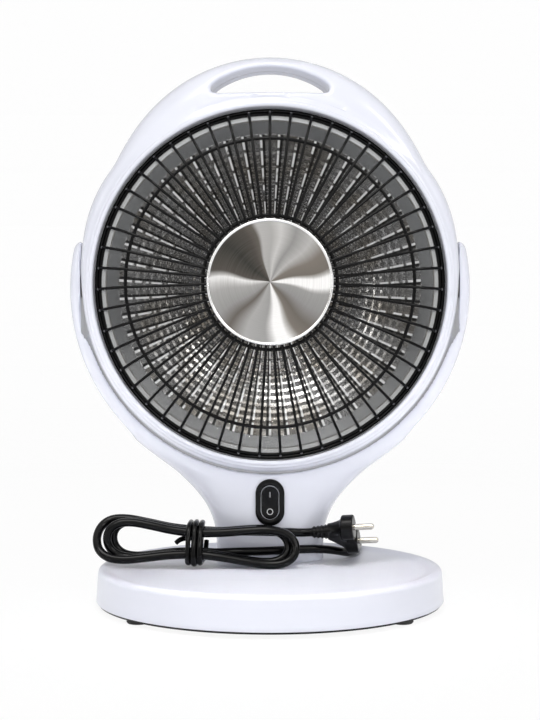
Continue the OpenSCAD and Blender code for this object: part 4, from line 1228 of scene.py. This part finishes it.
def wire_tree():
    """A tree that sweeps a wire along its seed and repeats it round the head's axis."""
    g = Garden("RadialWires", (("Count", "NodeSocketInt", WIRES), ("Radius", "NodeSocketFloat", WIRE_D / 2 * MM)))
    profile = g.node("GeometryNodeCurvePrimitiveCircle", {}, {"Resolution": 10, "Radius": g.given("Radius")})
    wire = g.node("GeometryNodeCurveToMesh", {}, {
        "Curve": g.given("Geometry"), "Profile Curve": profile, "Fill Caps": True})
    spots = g.node("GeometryNodePoints", {}, {
        "Count": g.given("Count"), "Position": (0.0, 0.0, PIVOT[2] * MM)})
    index = g.node("GeometryNodeInputIndex")
    part = g.node("ShaderNodeMath", {"operation": "DIVIDE"}, {0: index, 1: g.given("Count")})
    turn = g.node("ShaderNodeMath", {"operation": "MULTIPLY_ADD"}, {0: part, 1: 2 * math.pi, 2: -math.pi / 2})
    spin = g.node("ShaderNodeCombineXYZ", {}, {"Y": turn})
    many = g.node("GeometryNodeInstanceOnPoints", {}, {"Points": spots, "Instance": wire, "Rotation": spin})
    return g.finish(many, FINISH["guard_black"])


def ring_wire(radius, y, count=192, sides=12):
    """Points and faces of a wire ring about the head's axis."""
    section = [(radius + u, y + v) for u, v in circle(sides, RING_D / 2)]
    points = [(r * s, h, PIVOT[2] + r * c) for c, s in circle(count) for r, h in section]
    return points, grid_faces(count, sides, True)


def make_guard():
    """The radial wires, which bow forward to the hub, and the rings welded behind them."""
    sizes = bpy.context.scene.heater_sizes
    weld = (WIRE_D + RING_D) / 2 - 0.25
    outer = MOUTH_R - RING_D / 2 - 0.3
    line = rounded([(26, 0), (INNER_RING_R, 0.3), (MID_RING_R, 5), (outer - 6.5, 12.5), (outer - 0.9, 21)], 2)
    seed = line_object("wire_seed", [(r, y, 0.0) for r, y in line])
    values = {"Count": sizes.wire_count, "Radius": sizes.wire_diameter / 2}
    weighted(grown("radial_wires", seed, wire_tree(), values, "head", "guard_black", None, ["guard_wires"]), 50)
    for name, radii, y, node in (
        ("outer_ring_wires", (outer, outer - RING_D + 0.25), 22.1, "guard_outer_rings"),
        ("middle_ring_wire", (MID_RING_R,), 5 + weld, "guard_mid_ring"),
        ("inner_ring_wire", (INNER_RING_R,), 0.3 + weld, "guard_inner_ring"),
        ("hub_ring_wire", (HUB_RING_R,), weld, "guard_hub_ring"),
    ):
        points, faces = [], []
        for radius in radii:
            add_part(points, faces, *ring_wire(radius, y))
        outward(piece(name, points, faces, "head", "guard_black", None, [node]))


def make_hub():
    """The hollow-faced disc with its rolled rim."""
    edge = -WIRE_D / 2

    def plate(depth, radii):
        return [(r, edge - depth + 1.2 * (r / HUB_FACE_R) ** 2) for r in radii]

    rim = rounded([
        (HUB_FACE_R, edge - 1.8), (39.2, edge - 2.5), (40.2, edge - 2.7), (HUB_R, edge - 1.6), (40.6, edge - 0.4),
        (39.6, edge), (38.4, edge - 0.9)], 2)
    front, back = plate(3, np.linspace(0, HUB_FACE_R, 24)), plate(2.2, np.linspace(38, 0, 12))
    profile = front + [tuple(p) for p in rim[1:]] + back
    turned("hub_plate", profile, "y", HEAD_AXIS, "head", "spun_steel", None, ["hub_disc"], 128, False)


# --------------------------------------------------------------------- switch


def stadium(half_w, half_h):
    """A round-ended outline, as (x, z) pairs."""
    out = []
    for k in range(ROUND):
        a = 2 * math.pi * (k + 0.5) / ROUND
        out.append((half_w * math.cos(a), math.copysign(half_h - half_w, math.sin(a)) + half_w * math.sin(a)))
    return out


def make_switch_bezel():
    """The switch's frame: its rolled edge, the well for the key and the inner wall."""
    # Half width, half height and Y of each ring
    levels = (
        (9.6, 15.45, 24.0), (9.6, 15.45, 22.9), (9.35, 15.2, 22.25), (8.8, 14.65, 21.97), (7.4, 13.2, 21.95),
        (6.6, 11.75, 22.05), (6.25, 11.35, 22.4), (6.2, 11.3, 23.2), (6.2, 11.3, 31.0), (7.6, 13.45, 31.0),
        (7.6, 13.45, 24.0))
    points = [(x, y, SWITCH_Z + z) for w, h, y in levels for x, z in stadium(w, h)]
    faces = grid_faces(len(levels), ROUND, True)
    weighted(outward(piece("switch_bezel", points, faces, "stand", "black_gloss", None, ["switch_frame"])), 50)


def on_key(x, z, depth=0.0, base=None):
    """A place on the tilted key: on its hollow face, or on a flat at base."""
    t = min(1.0, abs(z) / KEY_H)
    y = (-1.4 - 1.5 * (0.25 * t + 0.75 * t * t) if base is None else base) + depth
    c, s = math.cos(math.radians(ROCKER_TILT)), math.sin(math.radians(ROCKER_TILT))
    return (x, ROCKER_Y + y * c - z * s, SWITCH_Z + y * s + z * c)


def make_switch_key():
    """The rocker's key, hollow along its height."""
    levels = ((1.0, 0.9), (1.0, 0.35), (0.985, 0.1), (0.95, 0.0), (0.8, 0.0), (0.6, 0.0), (0.4, 0.0), (0.2, 0.0))
    points = [on_key(x, z, depth) for share, depth in levels for x, z in stadium(KEY_W * share, KEY_H * share)]
    faces = grid_faces(len(levels), ROUND)
    points.append(on_key(0, 0))
    tip, last = len(points) - 1, (len(levels) - 1) * ROUND
    faces += [(last + k, last + (k + 1) % ROUND, tip) for k in range(ROUND)]
    low = len(points)
    points += [on_key(x, z * 0.98, 0.0, 2.2) for x, z in stadium(KEY_W, KEY_H)]
    points.append(on_key(0, 0, 0.0, 2.9))
    end = len(points) - 1
    faces += belt(0, low, ROUND) + [(low + k, low + (k + 1) % ROUND, end) for k in range(ROUND)]
    weighted(outward(piece("switch_key", points, faces, "rocker", "black_gloss", None, ["switch_rocker"])), 50)


def make_switch_marks():
    """The on and off marks, a hair above the key's face."""
    up, down = -0.06, 0.15
    bar = [on_key(x, z, d) for x, z in ((-0.28, 7.6), (0.28, 7.6), (0.28, 3.8), (-0.28, 3.8)) for d in (up, down)]
    sides = [(2 * k, 2 * ((k + 1) % 4), 2 * ((k + 1) % 4) + 1, 2 * k + 1) for k in range(4)]
    points, faces = bar, [(0, 2, 4, 6), (7, 5, 3, 1)] + sides
    section = ((1.62, up), (2.1, up), (2.1, down), (1.62, down))
    ring = [on_key(r * c, -5.9 + r * s, d) for c, s in circle(32) for r, d in section]
    add_part(points, faces, ring, grid_faces(32, 4, True))
    outward(piece("switch_marks", points, faces, "rocker", "black_gloss", "mark_paint", smooth=False))


# ----------------------------------------------------------------------- cord

TIE_X, HANK_Z, LEAN, SLOPE, COLUMN, ROW, END = -48.0, 37.7, 0.32, 0.048, 6.9, 6.7, 8.0
# The hank's half turns: side, reach, spread, and the columns where each starts and ends
TURNS = [(-1, 54, 18, 2, 1), (1, 60, 15.5, 1, 1), (-1, 57, 18.5, 1, 0), (1, 64.5, 16.4, 0, 0), (-1, 64, 20, 0, 2)]
LEAD = [
    (38.6, 88.1, 34), (42, 91.2, 33.2), (46.5, 93, 32), (51.5, 92.8, 30.6), (56, 90.6, 29.2),
    (59.6, 86.8, 28), (61.5, 81.8, 26.8), (61.6, 76, 25.8), (60.8, 70, 25.2), (59.8, 63, 25),
    (58.5, 56, 25), (56, 48, 25.3), (52, 40, 26.2), (46.5, 33, 28), (40, 27, 29.8),
    (32, 22.6, 31), (21, 19.2, 31.3), (6, 15.5, 31.1), (-10, 12.8, 30.9), (-24, 11.8, 30.7)]
TAIL = [(-26, 16, 43.6), (-12, 16.6, 43.3), (2, 18, 42.9), (13, 20.4, 42.4)]
RELIEF_AT, RELIEF_DIR = np.array([22.0, 66.0, 34.0]), np.array([0.6, 0.8, 0.0])
PLUG_AT = np.array([51.0, 19.5, 41.1])
LOBE_R, PIN_OFF, RELIEF_L = 8.2, 9.5, 22
PLUG_AXIS = np.array([0.975, -0.22, 0.07])
PLUG_AXIS /= np.linalg.norm(PLUG_AXIS)
PLUG_ACROSS = np.array([0.22, 0.79, -0.57])
PLUG_ACROSS -= (PLUG_ACROSS @ PLUG_AXIS) * PLUG_AXIS
PLUG_ACROSS /= np.linalg.norm(PLUG_ACROSS)
RELIEF_END = PLUG_AT - 5 * PLUG_ACROSS - RELIEF_L * PLUG_AXIS
# The tie's two standing ends, from where its wraps start
TIE_ENDS = (
    ((0, -1, 1.5), (2.5, -5.0, 4.0), (6.5, -7.5, 4.5), (10.5, -8.5, 7.0)),
    ((0, -1.5, 0.5), (-2.5, -5.5, 1.5), (-6.0, -7.0, 0.5), (-8.5, -7.2, -1.5)))


def in_hank(u, v, w):
    """A place in the hank: along it, up from its middle, and by columns from its front."""
    return (u, w * COLUMN + v * LEAN, HANK_Z + v - SLOPE * (u - TIE_X))


def half_turn(side, reach, spread, first, last):
    """Half a turn of the hank round one end."""
    out = []
    for i in range(12):
        t = math.radians(15 * i)
        c = 0.5 - 0.5 * math.cos(math.radians(min(180, max(0, (15 * i - 60) * 3))))
        row = side * math.cos(t) * (ROW + spread * math.sin(t) ** 2)
        out.append(in_hank(TIE_X + side * reach * math.sin(t), row, first + (last - first) * c))
    return out


def cord_route():
    """The whole cord in millimetres: from its relief, round the neck, through the hank and to the plug."""
    route = [tuple(RELIEF_AT + RELIEF_L * RELIEF_DIR)] + LEAD
    route += [in_hank(TIE_X + END + d, -ROW, 2) for d in (CORD_D, 0, -CORD_D)]
    for turn in TURNS:
        route += half_turn(*turn)
    route += [in_hank(u, ROW, 2) for u in (TIE_X, TIE_X + END, -34.4)] + TAIL
    return route + [tuple(RELIEF_END - 8 * PLUG_AXIS), tuple(RELIEF_END)]


def length_of(path):
    """The length of a path of points."""
    return float(np.linalg.norm(np.diff(path, axis=0), axis=1).sum())


def make_cord():
    """The mains cord, and the path that it follows."""
    path = smooth_path(cord_route(), 4)
    points, faces = tube_mesh(path, bpy.context.scene.heater_sizes.cord_diameter / MM / 2, 16)
    nodes = ["cord_lead", "cord_hank", "cord_tail"]
    return outward(piece("mains_cord", points, faces, "stand", "cord_jacket", None, nodes)), path


def tie_point(i):
    """A point of the tie's wraps, 24 to a turn; each wrap swells by its own amount."""
    t = i / 24
    a = 2 * math.pi * t
    c, s = math.cos(a), math.sin(a)
    half = 12.0 + (0.0, 0.7, 0.1, 0.9)[min(3, int(t))] * math.sin(math.pi * (t % 1.0))
    u = TIE_X - 5.6 + 3.75 * t + 1.3 * math.sin(a + 0.6)
    w = 1 + half / COLUMN * math.copysign(abs(c) ** 0.55, c)
    return in_hank(u, half * math.copysign(abs(s) ** 0.55, s), w)


def make_tie():
    """The twisted tie: lumpy wraps, and two ends left standing."""
    route = [tie_point(i) for i in range(24 * 3 + 1)]
    path = smooth_path(route, 2)
    t = np.linspace(0, 1, len(path))
    points, faces = tube_mesh(path, 1.85 + 0.18 * np.sin(t * 61) + 0.12 * np.sin(t * 23 + 1), 12)
    for end in TIE_ENDS:
        line = smooth_path([np.array(route[0]) + step for step in end], 8)
        add_part(points, faces, *tube_mesh(line, np.linspace(1.9, 1.5, len(line)), 12))
    outward(piece("hank_tie", points, faces, "stand", "cord_jacket", None, ["cord_tie"]))


def plug_field(p):
    """Distance, roughly, to the plug: two lobes, the bar between them and the sweep to the sleeve."""
    q = p - PLUG_AT
    u, v, w = q @ PLUG_ACROSS, q @ np.cross(PLUG_AXIS, PLUG_ACROSS), q @ PLUG_AXIS
    body = np.full(len(p), 1e3)
    for s in (-1, 1):
        radial = np.hypot(u - s * PIN_OFF, v) - (LOBE_R - 1.0)
        height = np.abs(w - 2.0) - 3.0
        corner = np.hypot(np.maximum(radial, 0), np.maximum(height, 0))
        body = np.minimum(body, corner + np.minimum(np.maximum(radial, height), 0) - 1.0)
    bar = np.maximum(np.maximum(np.abs(u) - PIN_OFF, np.abs(v) - 4.4), np.abs(w - 1.2) - 3.2)
    body = smooth_min(body, bar, 2.5)
    t = np.clip((w + 12) / 11.0, 0, 1)
    centre, half, thick = -5 * (1 - t), 0.4 + 9.2 * t ** 1.3, 5.2 + 0.8 * t
    sweep = np.hypot(np.maximum(np.abs(u - centre) - half, 0), v) - thick
    return smooth_min(body, np.maximum(sweep * 0.8, np.abs(w + 6.0) - 6.2), 1.8)


def make_plug():
    """The plug's moulding, its ribbed sleeve and its two pins."""
    points, faces = contour(plug_field, PLUG_AT - 24, PLUG_AT + 24, 0.9)
    body = piece("plug_moulding", points, faces, "stand", "black_gloss", None, ["plug_body"])
    field_normals(body, plug_field, 0.5)
    along = np.linspace(-0.5, 11, 47)
    ribs = 0.5 * np.clip(np.sin(along * 2 * np.pi / 2.6), 0, 1) ** 0.5 * (along < 9)
    points, faces = tube_mesh(RELIEF_END + np.outer(along, PLUG_AXIS), 3.35 + 0.1 * along + ribs, 24)
    sleeve = outward(piece("plug_sleeve", points, faces, "stand", "black_gloss", None, ["plug_relief"]))
    points, faces = [], []
    along = [-2, 5.9, 6.0, 17.3, 18.2, 18.8, 19.0]
    for s in (-1, 1):
        pin = PLUG_AT + s * PIN_OFF * PLUG_ACROSS + np.outer(along, PLUG_AXIS)
        add_part(points, faces, *tube_mesh(pin, np.array([2.0, 2.0, 2.0, 2.0, 1.75, 1.2, 0.4]), 24))
    pins = weighted(outward(piece("plug_prongs", points, faces, "stand", "pin_metal", None, ["plug_pins"])), 40)
    return body, sleeve, pins


# ---------------------------------------------------------------------- stage

CAMERA_AT, LENS, SENSOR = (0.0, -0.824, 0.1557), 64.15, 36.0
HEAD_AIM, BASE_AIM = (0.0, 0.03, 0.2), (0.0, -0.07, 0.03)
# Name, place, aim, size and power of each lamp, in metres and watts, and its spread in degrees
LAMPS = (
    ("key", (-0.9, -1.1, 1.25), HEAD_AIM, 1.1, 3.0, 180),
    ("fill", (1.1, -0.9, 0.7), HEAD_AIM, 0.9, 2.3, 180),
    ("top", (0.0, 0.1, 1.6), HEAD_AIM, 1.3, 1.85, 180),
    ("low", (0.1, -1.5, 0.25), HEAD_AIM, 0.6, 2.7, 180),
    ("spot_base", (0.0, -0.3, 1.6), BASE_AIM, 0.12, 0.115, 12),
    ("spot_left", (-0.5, -0.5, 0.03), (-0.085, 0.02, 0.115), 0.1, 0.02, 24),
    ("spot_right", (0.5, -0.5, 0.03), (0.085, 0.02, 0.115), 0.1, 0.02, 24),
    ("window_left", (-0.62, -0.95, 0.95), HEAD_AIM, 0.11, 0.5, 180),
    ("window_high", (0.02, -1.0, 1.0), HEAD_AIM, 0.12, 0.55, 180),
)
# Way to each panel that gloss shows, its way across, half width, half height and brightness
PANELS = (
    ((-0.14, -0.42, 0.79), (1.0, -0.1, 0.15), 0.22, 0.16, 8.0),
    ((0.62, -0.50, 0.60), (0.63, 0.77, 0.0), 0.10, 0.26, 6.0),
    ((-0.86, -0.45, 0.22), (0.46, -0.89, 0.0), 0.07, 0.30, 4.0),
    ((0.10, -0.86, 0.50), (1.0, 0.12, 0.0), 0.45, 0.035, 4.0),
    ((0.0, -1.0, 0.06), (1.0, 0.0, 0.0), 0.55, 0.40, 0.35),
)


def make_floor(scene):
    """A floor that bends up into a backdrop; the camera sees it white, with the heater's shadow."""
    p = Paint("floor_white")
    camera_ray = p.node("ShaderNodeLightPath", output="Is Camera Ray")
    behind = p.split(p.place())[1].step(0.45, 1.0) * (1.0 - camera_ray)
    strength = 1.22 - camera_ray * 0.2 - behind * 0.72
    glow = p.node("ShaderNodeEmission", {}, {"Color": (1.0, 1.0, 1.0), "Strength": strength})
    shares = {0: camera_ray * 0.38 + 0.5, 1: Sock(p, p.shader.outputs[0]), 2: glow}
    p.put(p.end.inputs["Surface"], p.node("ShaderNodeMixShader", {}, shares))
    p.shader.inputs["Base Color"].default_value = (0.9, 0.9, 0.9, 1)
    p.shader.inputs["Roughness"].default_value = 0.6
    side, start, rise = 6000, 900, 600
    turns = [math.radians(t) for t in range(10, 91, 10)]
    bend = [(start + rise * math.sin(t), rise - rise * math.cos(t)) for t in turns]
    profile = [(-side, 0), (start, 0)] + bend + [(start + rise, 4000)]
    points = [(x, y, z) for y, z in profile for x in (-side, side)]
    faces = [(2 * i, 2 * i + 1, 2 * i + 3, 2 * i + 2) for i in range(len(profile) - 1)]
    mesh = mesh_of("floor", points, faces)
    mesh.materials.append(p.material)
    floor = bpy.data.objects.new("floor", mesh)
    scene.collection.objects.link(floor)


def panel(way, spot, across, wide, tall):
    """A bright panel in the direction spot, with soft edges."""
    spot = Vector(spot).normalized()
    up = spot.cross(Vector(across).normalized()).normalized()
    side = spot.cross(up).normalized()

    def along(axis):
        return way[0] * axis.x + way[1] * axis.y + way[2] * axis.z

    def inside(axis, half):
        return 1.0 - along(axis).absolute().step(half * 0.8, half)

    return inside(side, wide) * inside(up, tall) * along(spot).step(0.0, 0.2)


def make_sky(scene):
    """A white studio for soft light; gloss sees a dim room with pale panels."""
    scene.world = bpy.data.worlds.new("studio")
    scene.world.use_nodes = True
    w = Shading(scene.world.node_tree)
    way = w.split(w.node("ShaderNodeTexCoord", output="Generated"))
    room = 0.36 + (1.0 - way[2].step(-0.08, -0.01)) * 0.4 + way[2].step(0.35, 0.75) * 0.8
    for *shape, power in PANELS:
        room = room + panel(way, *shape) * power

    def light(colour, strength):
        return w.node("ShaderNodeBackground", {}, {"Color": colour, "Strength": strength})

    def seen_by(ray, seen, otherwise):
        share = w.node("ShaderNodeLightPath", output=ray)
        return w.node("ShaderNodeMixShader", {}, {0: share, 1: otherwise, 2: seen})

    lit = seen_by("Is Glossy Ray", light((1.0, 0.985, 0.96), room), light((1.0, 1.0, 1.0), 0.65))
    whole = seen_by("Is Camera Ray", light((0.985, 0.985, 0.985), 1.0), lit)
    w.put(w.tree.nodes.new("ShaderNodeOutputWorld").inputs["Surface"], whole)


# ------------------------------------------------------------------ operators


class HeaterSizes(bpy.types.PropertyGroup):
    cord_diameter: bpy.props.FloatProperty(
        name="Cord thickness", description="Thickness of the mains cord", default=CORD_D * MM, unit="LENGTH")
    shell_wall: bpy.props.FloatProperty(
        name="Shell wall", description="Wall of the head's housings", default=SHELL_WALL * MM, unit="LENGTH")
    wire_diameter: bpy.props.FloatProperty(
        name="Wire thickness", description="Thickness of the radial wires", default=WIRE_D * MM, unit="LENGTH")
    wire_count: bpy.props.IntProperty(
        name="Wires", description="Number of radial wires in the guard", default=WIRES, min=3)


class HeaterFinishes(bpy.types.PropertyGroup):
    shell_colour: bpy.props.FloatVectorProperty(
        name="Shell", description="Colour of the white shells", size=3, subtype="COLOR",
        default=(0.77, 0.785, 0.87))
    guard_colour: bpy.props.FloatVectorProperty(
        name="Guard", description="Colour of the guard's enamel", size=3, subtype="COLOR",
        default=(0.0015, 0.0015, 0.0017))
    cord_colour: bpy.props.FloatVectorProperty(
        name="Cord", description="Colour of the cord's jacket", size=3, subtype="COLOR",
        default=(0.0015, 0.0015, 0.0018))


class HEATER_OT_stage(bpy.types.Operator):
    """Adds the camera, the floor, the backdrop and the lights"""

    bl_idname = "heater.stage"
    bl_label = "Stage"

    def execute(self, context):
        scene = context.scene
        scene.view_settings.view_transform = "Standard"
        camera = bpy.data.objects.new("camera", bpy.data.cameras.new("camera"))
        camera.data.lens, camera.data.sensor_width = LENS, SENSOR
        camera.location = CAMERA_AT
        camera.rotation_euler = (math.radians(90), 0, 0)
        scene.collection.objects.link(camera)
        scene.camera = camera
        make_floor(scene)
        make_sky(scene)
        for name, place, aim, size, power, spread in LAMPS:
            light = bpy.data.lights.new(name, "AREA")
            light.size, light.energy, light.spread = size, power, math.radians(spread)
            lamp = bpy.data.objects.new(name, light)
            lamp.location = place
            lamp.visible_glossy = name != "low" and not name.startswith("spot")
            lamp.rotation_euler = (Vector(aim) - Vector(place)).to_track_quat("-Z", "Y").to_euler()
            scene.collection.objects.link(lamp)
        return {"FINISHED"}


class HEATER_OT_cord(bpy.types.Operator):
    """Adds the mains cord with its hank, tie and plug"""

    bl_idname = "heater.cord"
    bl_label = "Cord and plug"

    def execute(self, context):
        cord, path = make_cord()
        make_tie()
        plug, sleeve, prongs = make_plug()
        round(length_of(path) * MM, 3)
        return {"FINISHED"}


class HEATER_OT_finishes(bpy.types.Operator):
    """Makes every finish and gives the CAD's own pieces theirs"""

    bl_idname = "heater.finishes"
    bl_label = "Finishes"

    def execute(self, context):
        FINISH.update(make_finishes())
        slots = {row["node"]: row["material_slot"] for row in frame["record"]["subparts"]}
        for name, obj in frame["nodes"].items():
            obj.data.materials.clear()
            obj.data.materials.append(FINISH[slots[name]])
        return {"FINISHED"}


class HEATER_OT_base(bpy.types.Operator):
    """Adds the dished cover of the base"""

    bl_idname = "heater.base"
    bl_label = "Base"

    def execute(self, context):
        make_base()
        return {"FINISHED"}


class HEATER_OT_fork(bpy.types.Operator):
    """Adds the two shells of the neck and fork"""

    bl_idname = "heater.fork"
    bl_label = "Fork"

    def execute(self, context):
        make_fork()
        return {"FINISHED"}


class HEATER_OT_head(bpy.types.Operator):
    """Adds the head's front and back housings"""

    bl_idname = "heater.head"
    bl_label = "Head"

    def execute(self, context):
        make_head_front()
        make_head_back()
        make_screws()
        return {"FINISHED"}


class HEATER_OT_reflector(bpy.types.Operator):
    """Adds the reflector and the heating element"""

    bl_idname = "heater.reflector"
    bl_label = "Reflector and element"

    def execute(self, context):
        make_reflector()
        make_element()
        return {"FINISHED"}


class HEATER_OT_guard(bpy.types.Operator):
    """Adds the guard's wires and rings, and the disc at its centre"""

    bl_idname = "heater.guard"
    bl_label = "Guard"

    def execute(self, context):
        make_guard()
        make_hub()
        return {"FINISHED"}


class HEATER_OT_switch(bpy.types.Operator):
    """Adds the rocker switch and its marks"""

    bl_idname = "heater.switch"
    bl_label = "Switch"

    def execute(self, context):
        make_switch_bezel()
        make_switch_key()
        make_switch_marks()
        return {"FINISHED"}


class HEATER_PT_panel(bpy.types.Panel):
    bl_label = "Parabolic heater"
    bl_idname = "HEATER_PT_panel"
    bl_space_type = "VIEW_3D"
    bl_region_type = "UI"
    bl_category = "Heater"

    def draw(self, context):
        for name in STEPS:
            self.layout.operator("heater." + name)
        for group in (context.scene.heater_sizes, context.scene.heater_finishes):
            for prop in type(group).__annotations__:
                self.layout.prop(group, prop)


STEPS = ("stage", "finishes", "cord", "base", "fork", "head", "reflector", "guard", "switch")
CLASSES = (
    HeaterSizes, HeaterFinishes, HEATER_OT_stage, HEATER_OT_finishes, HEATER_OT_cord, HEATER_OT_base, HEATER_OT_fork,
    HEATER_OT_head, HEATER_OT_reflector, HEATER_OT_guard, HEATER_OT_switch, HEATER_PT_panel)


def register():
    for cls in CLASSES:
        bpy.utils.register_class(cls)
    bpy.types.Scene.heater_sizes = bpy.props.PointerProperty(type=HeaterSizes)
    bpy.types.Scene.heater_finishes = bpy.props.PointerProperty(type=HeaterFinishes)


def unregister():
    del bpy.types.Scene.heater_finishes
    del bpy.types.Scene.heater_sizes
    for cls in reversed(CLASSES):
        bpy.utils.unregister_class(cls)


def main():
    register()
    for name in STEPS:
        getattr(bpy.ops.heater, name)()


if __name__ == "__main__":
    main()
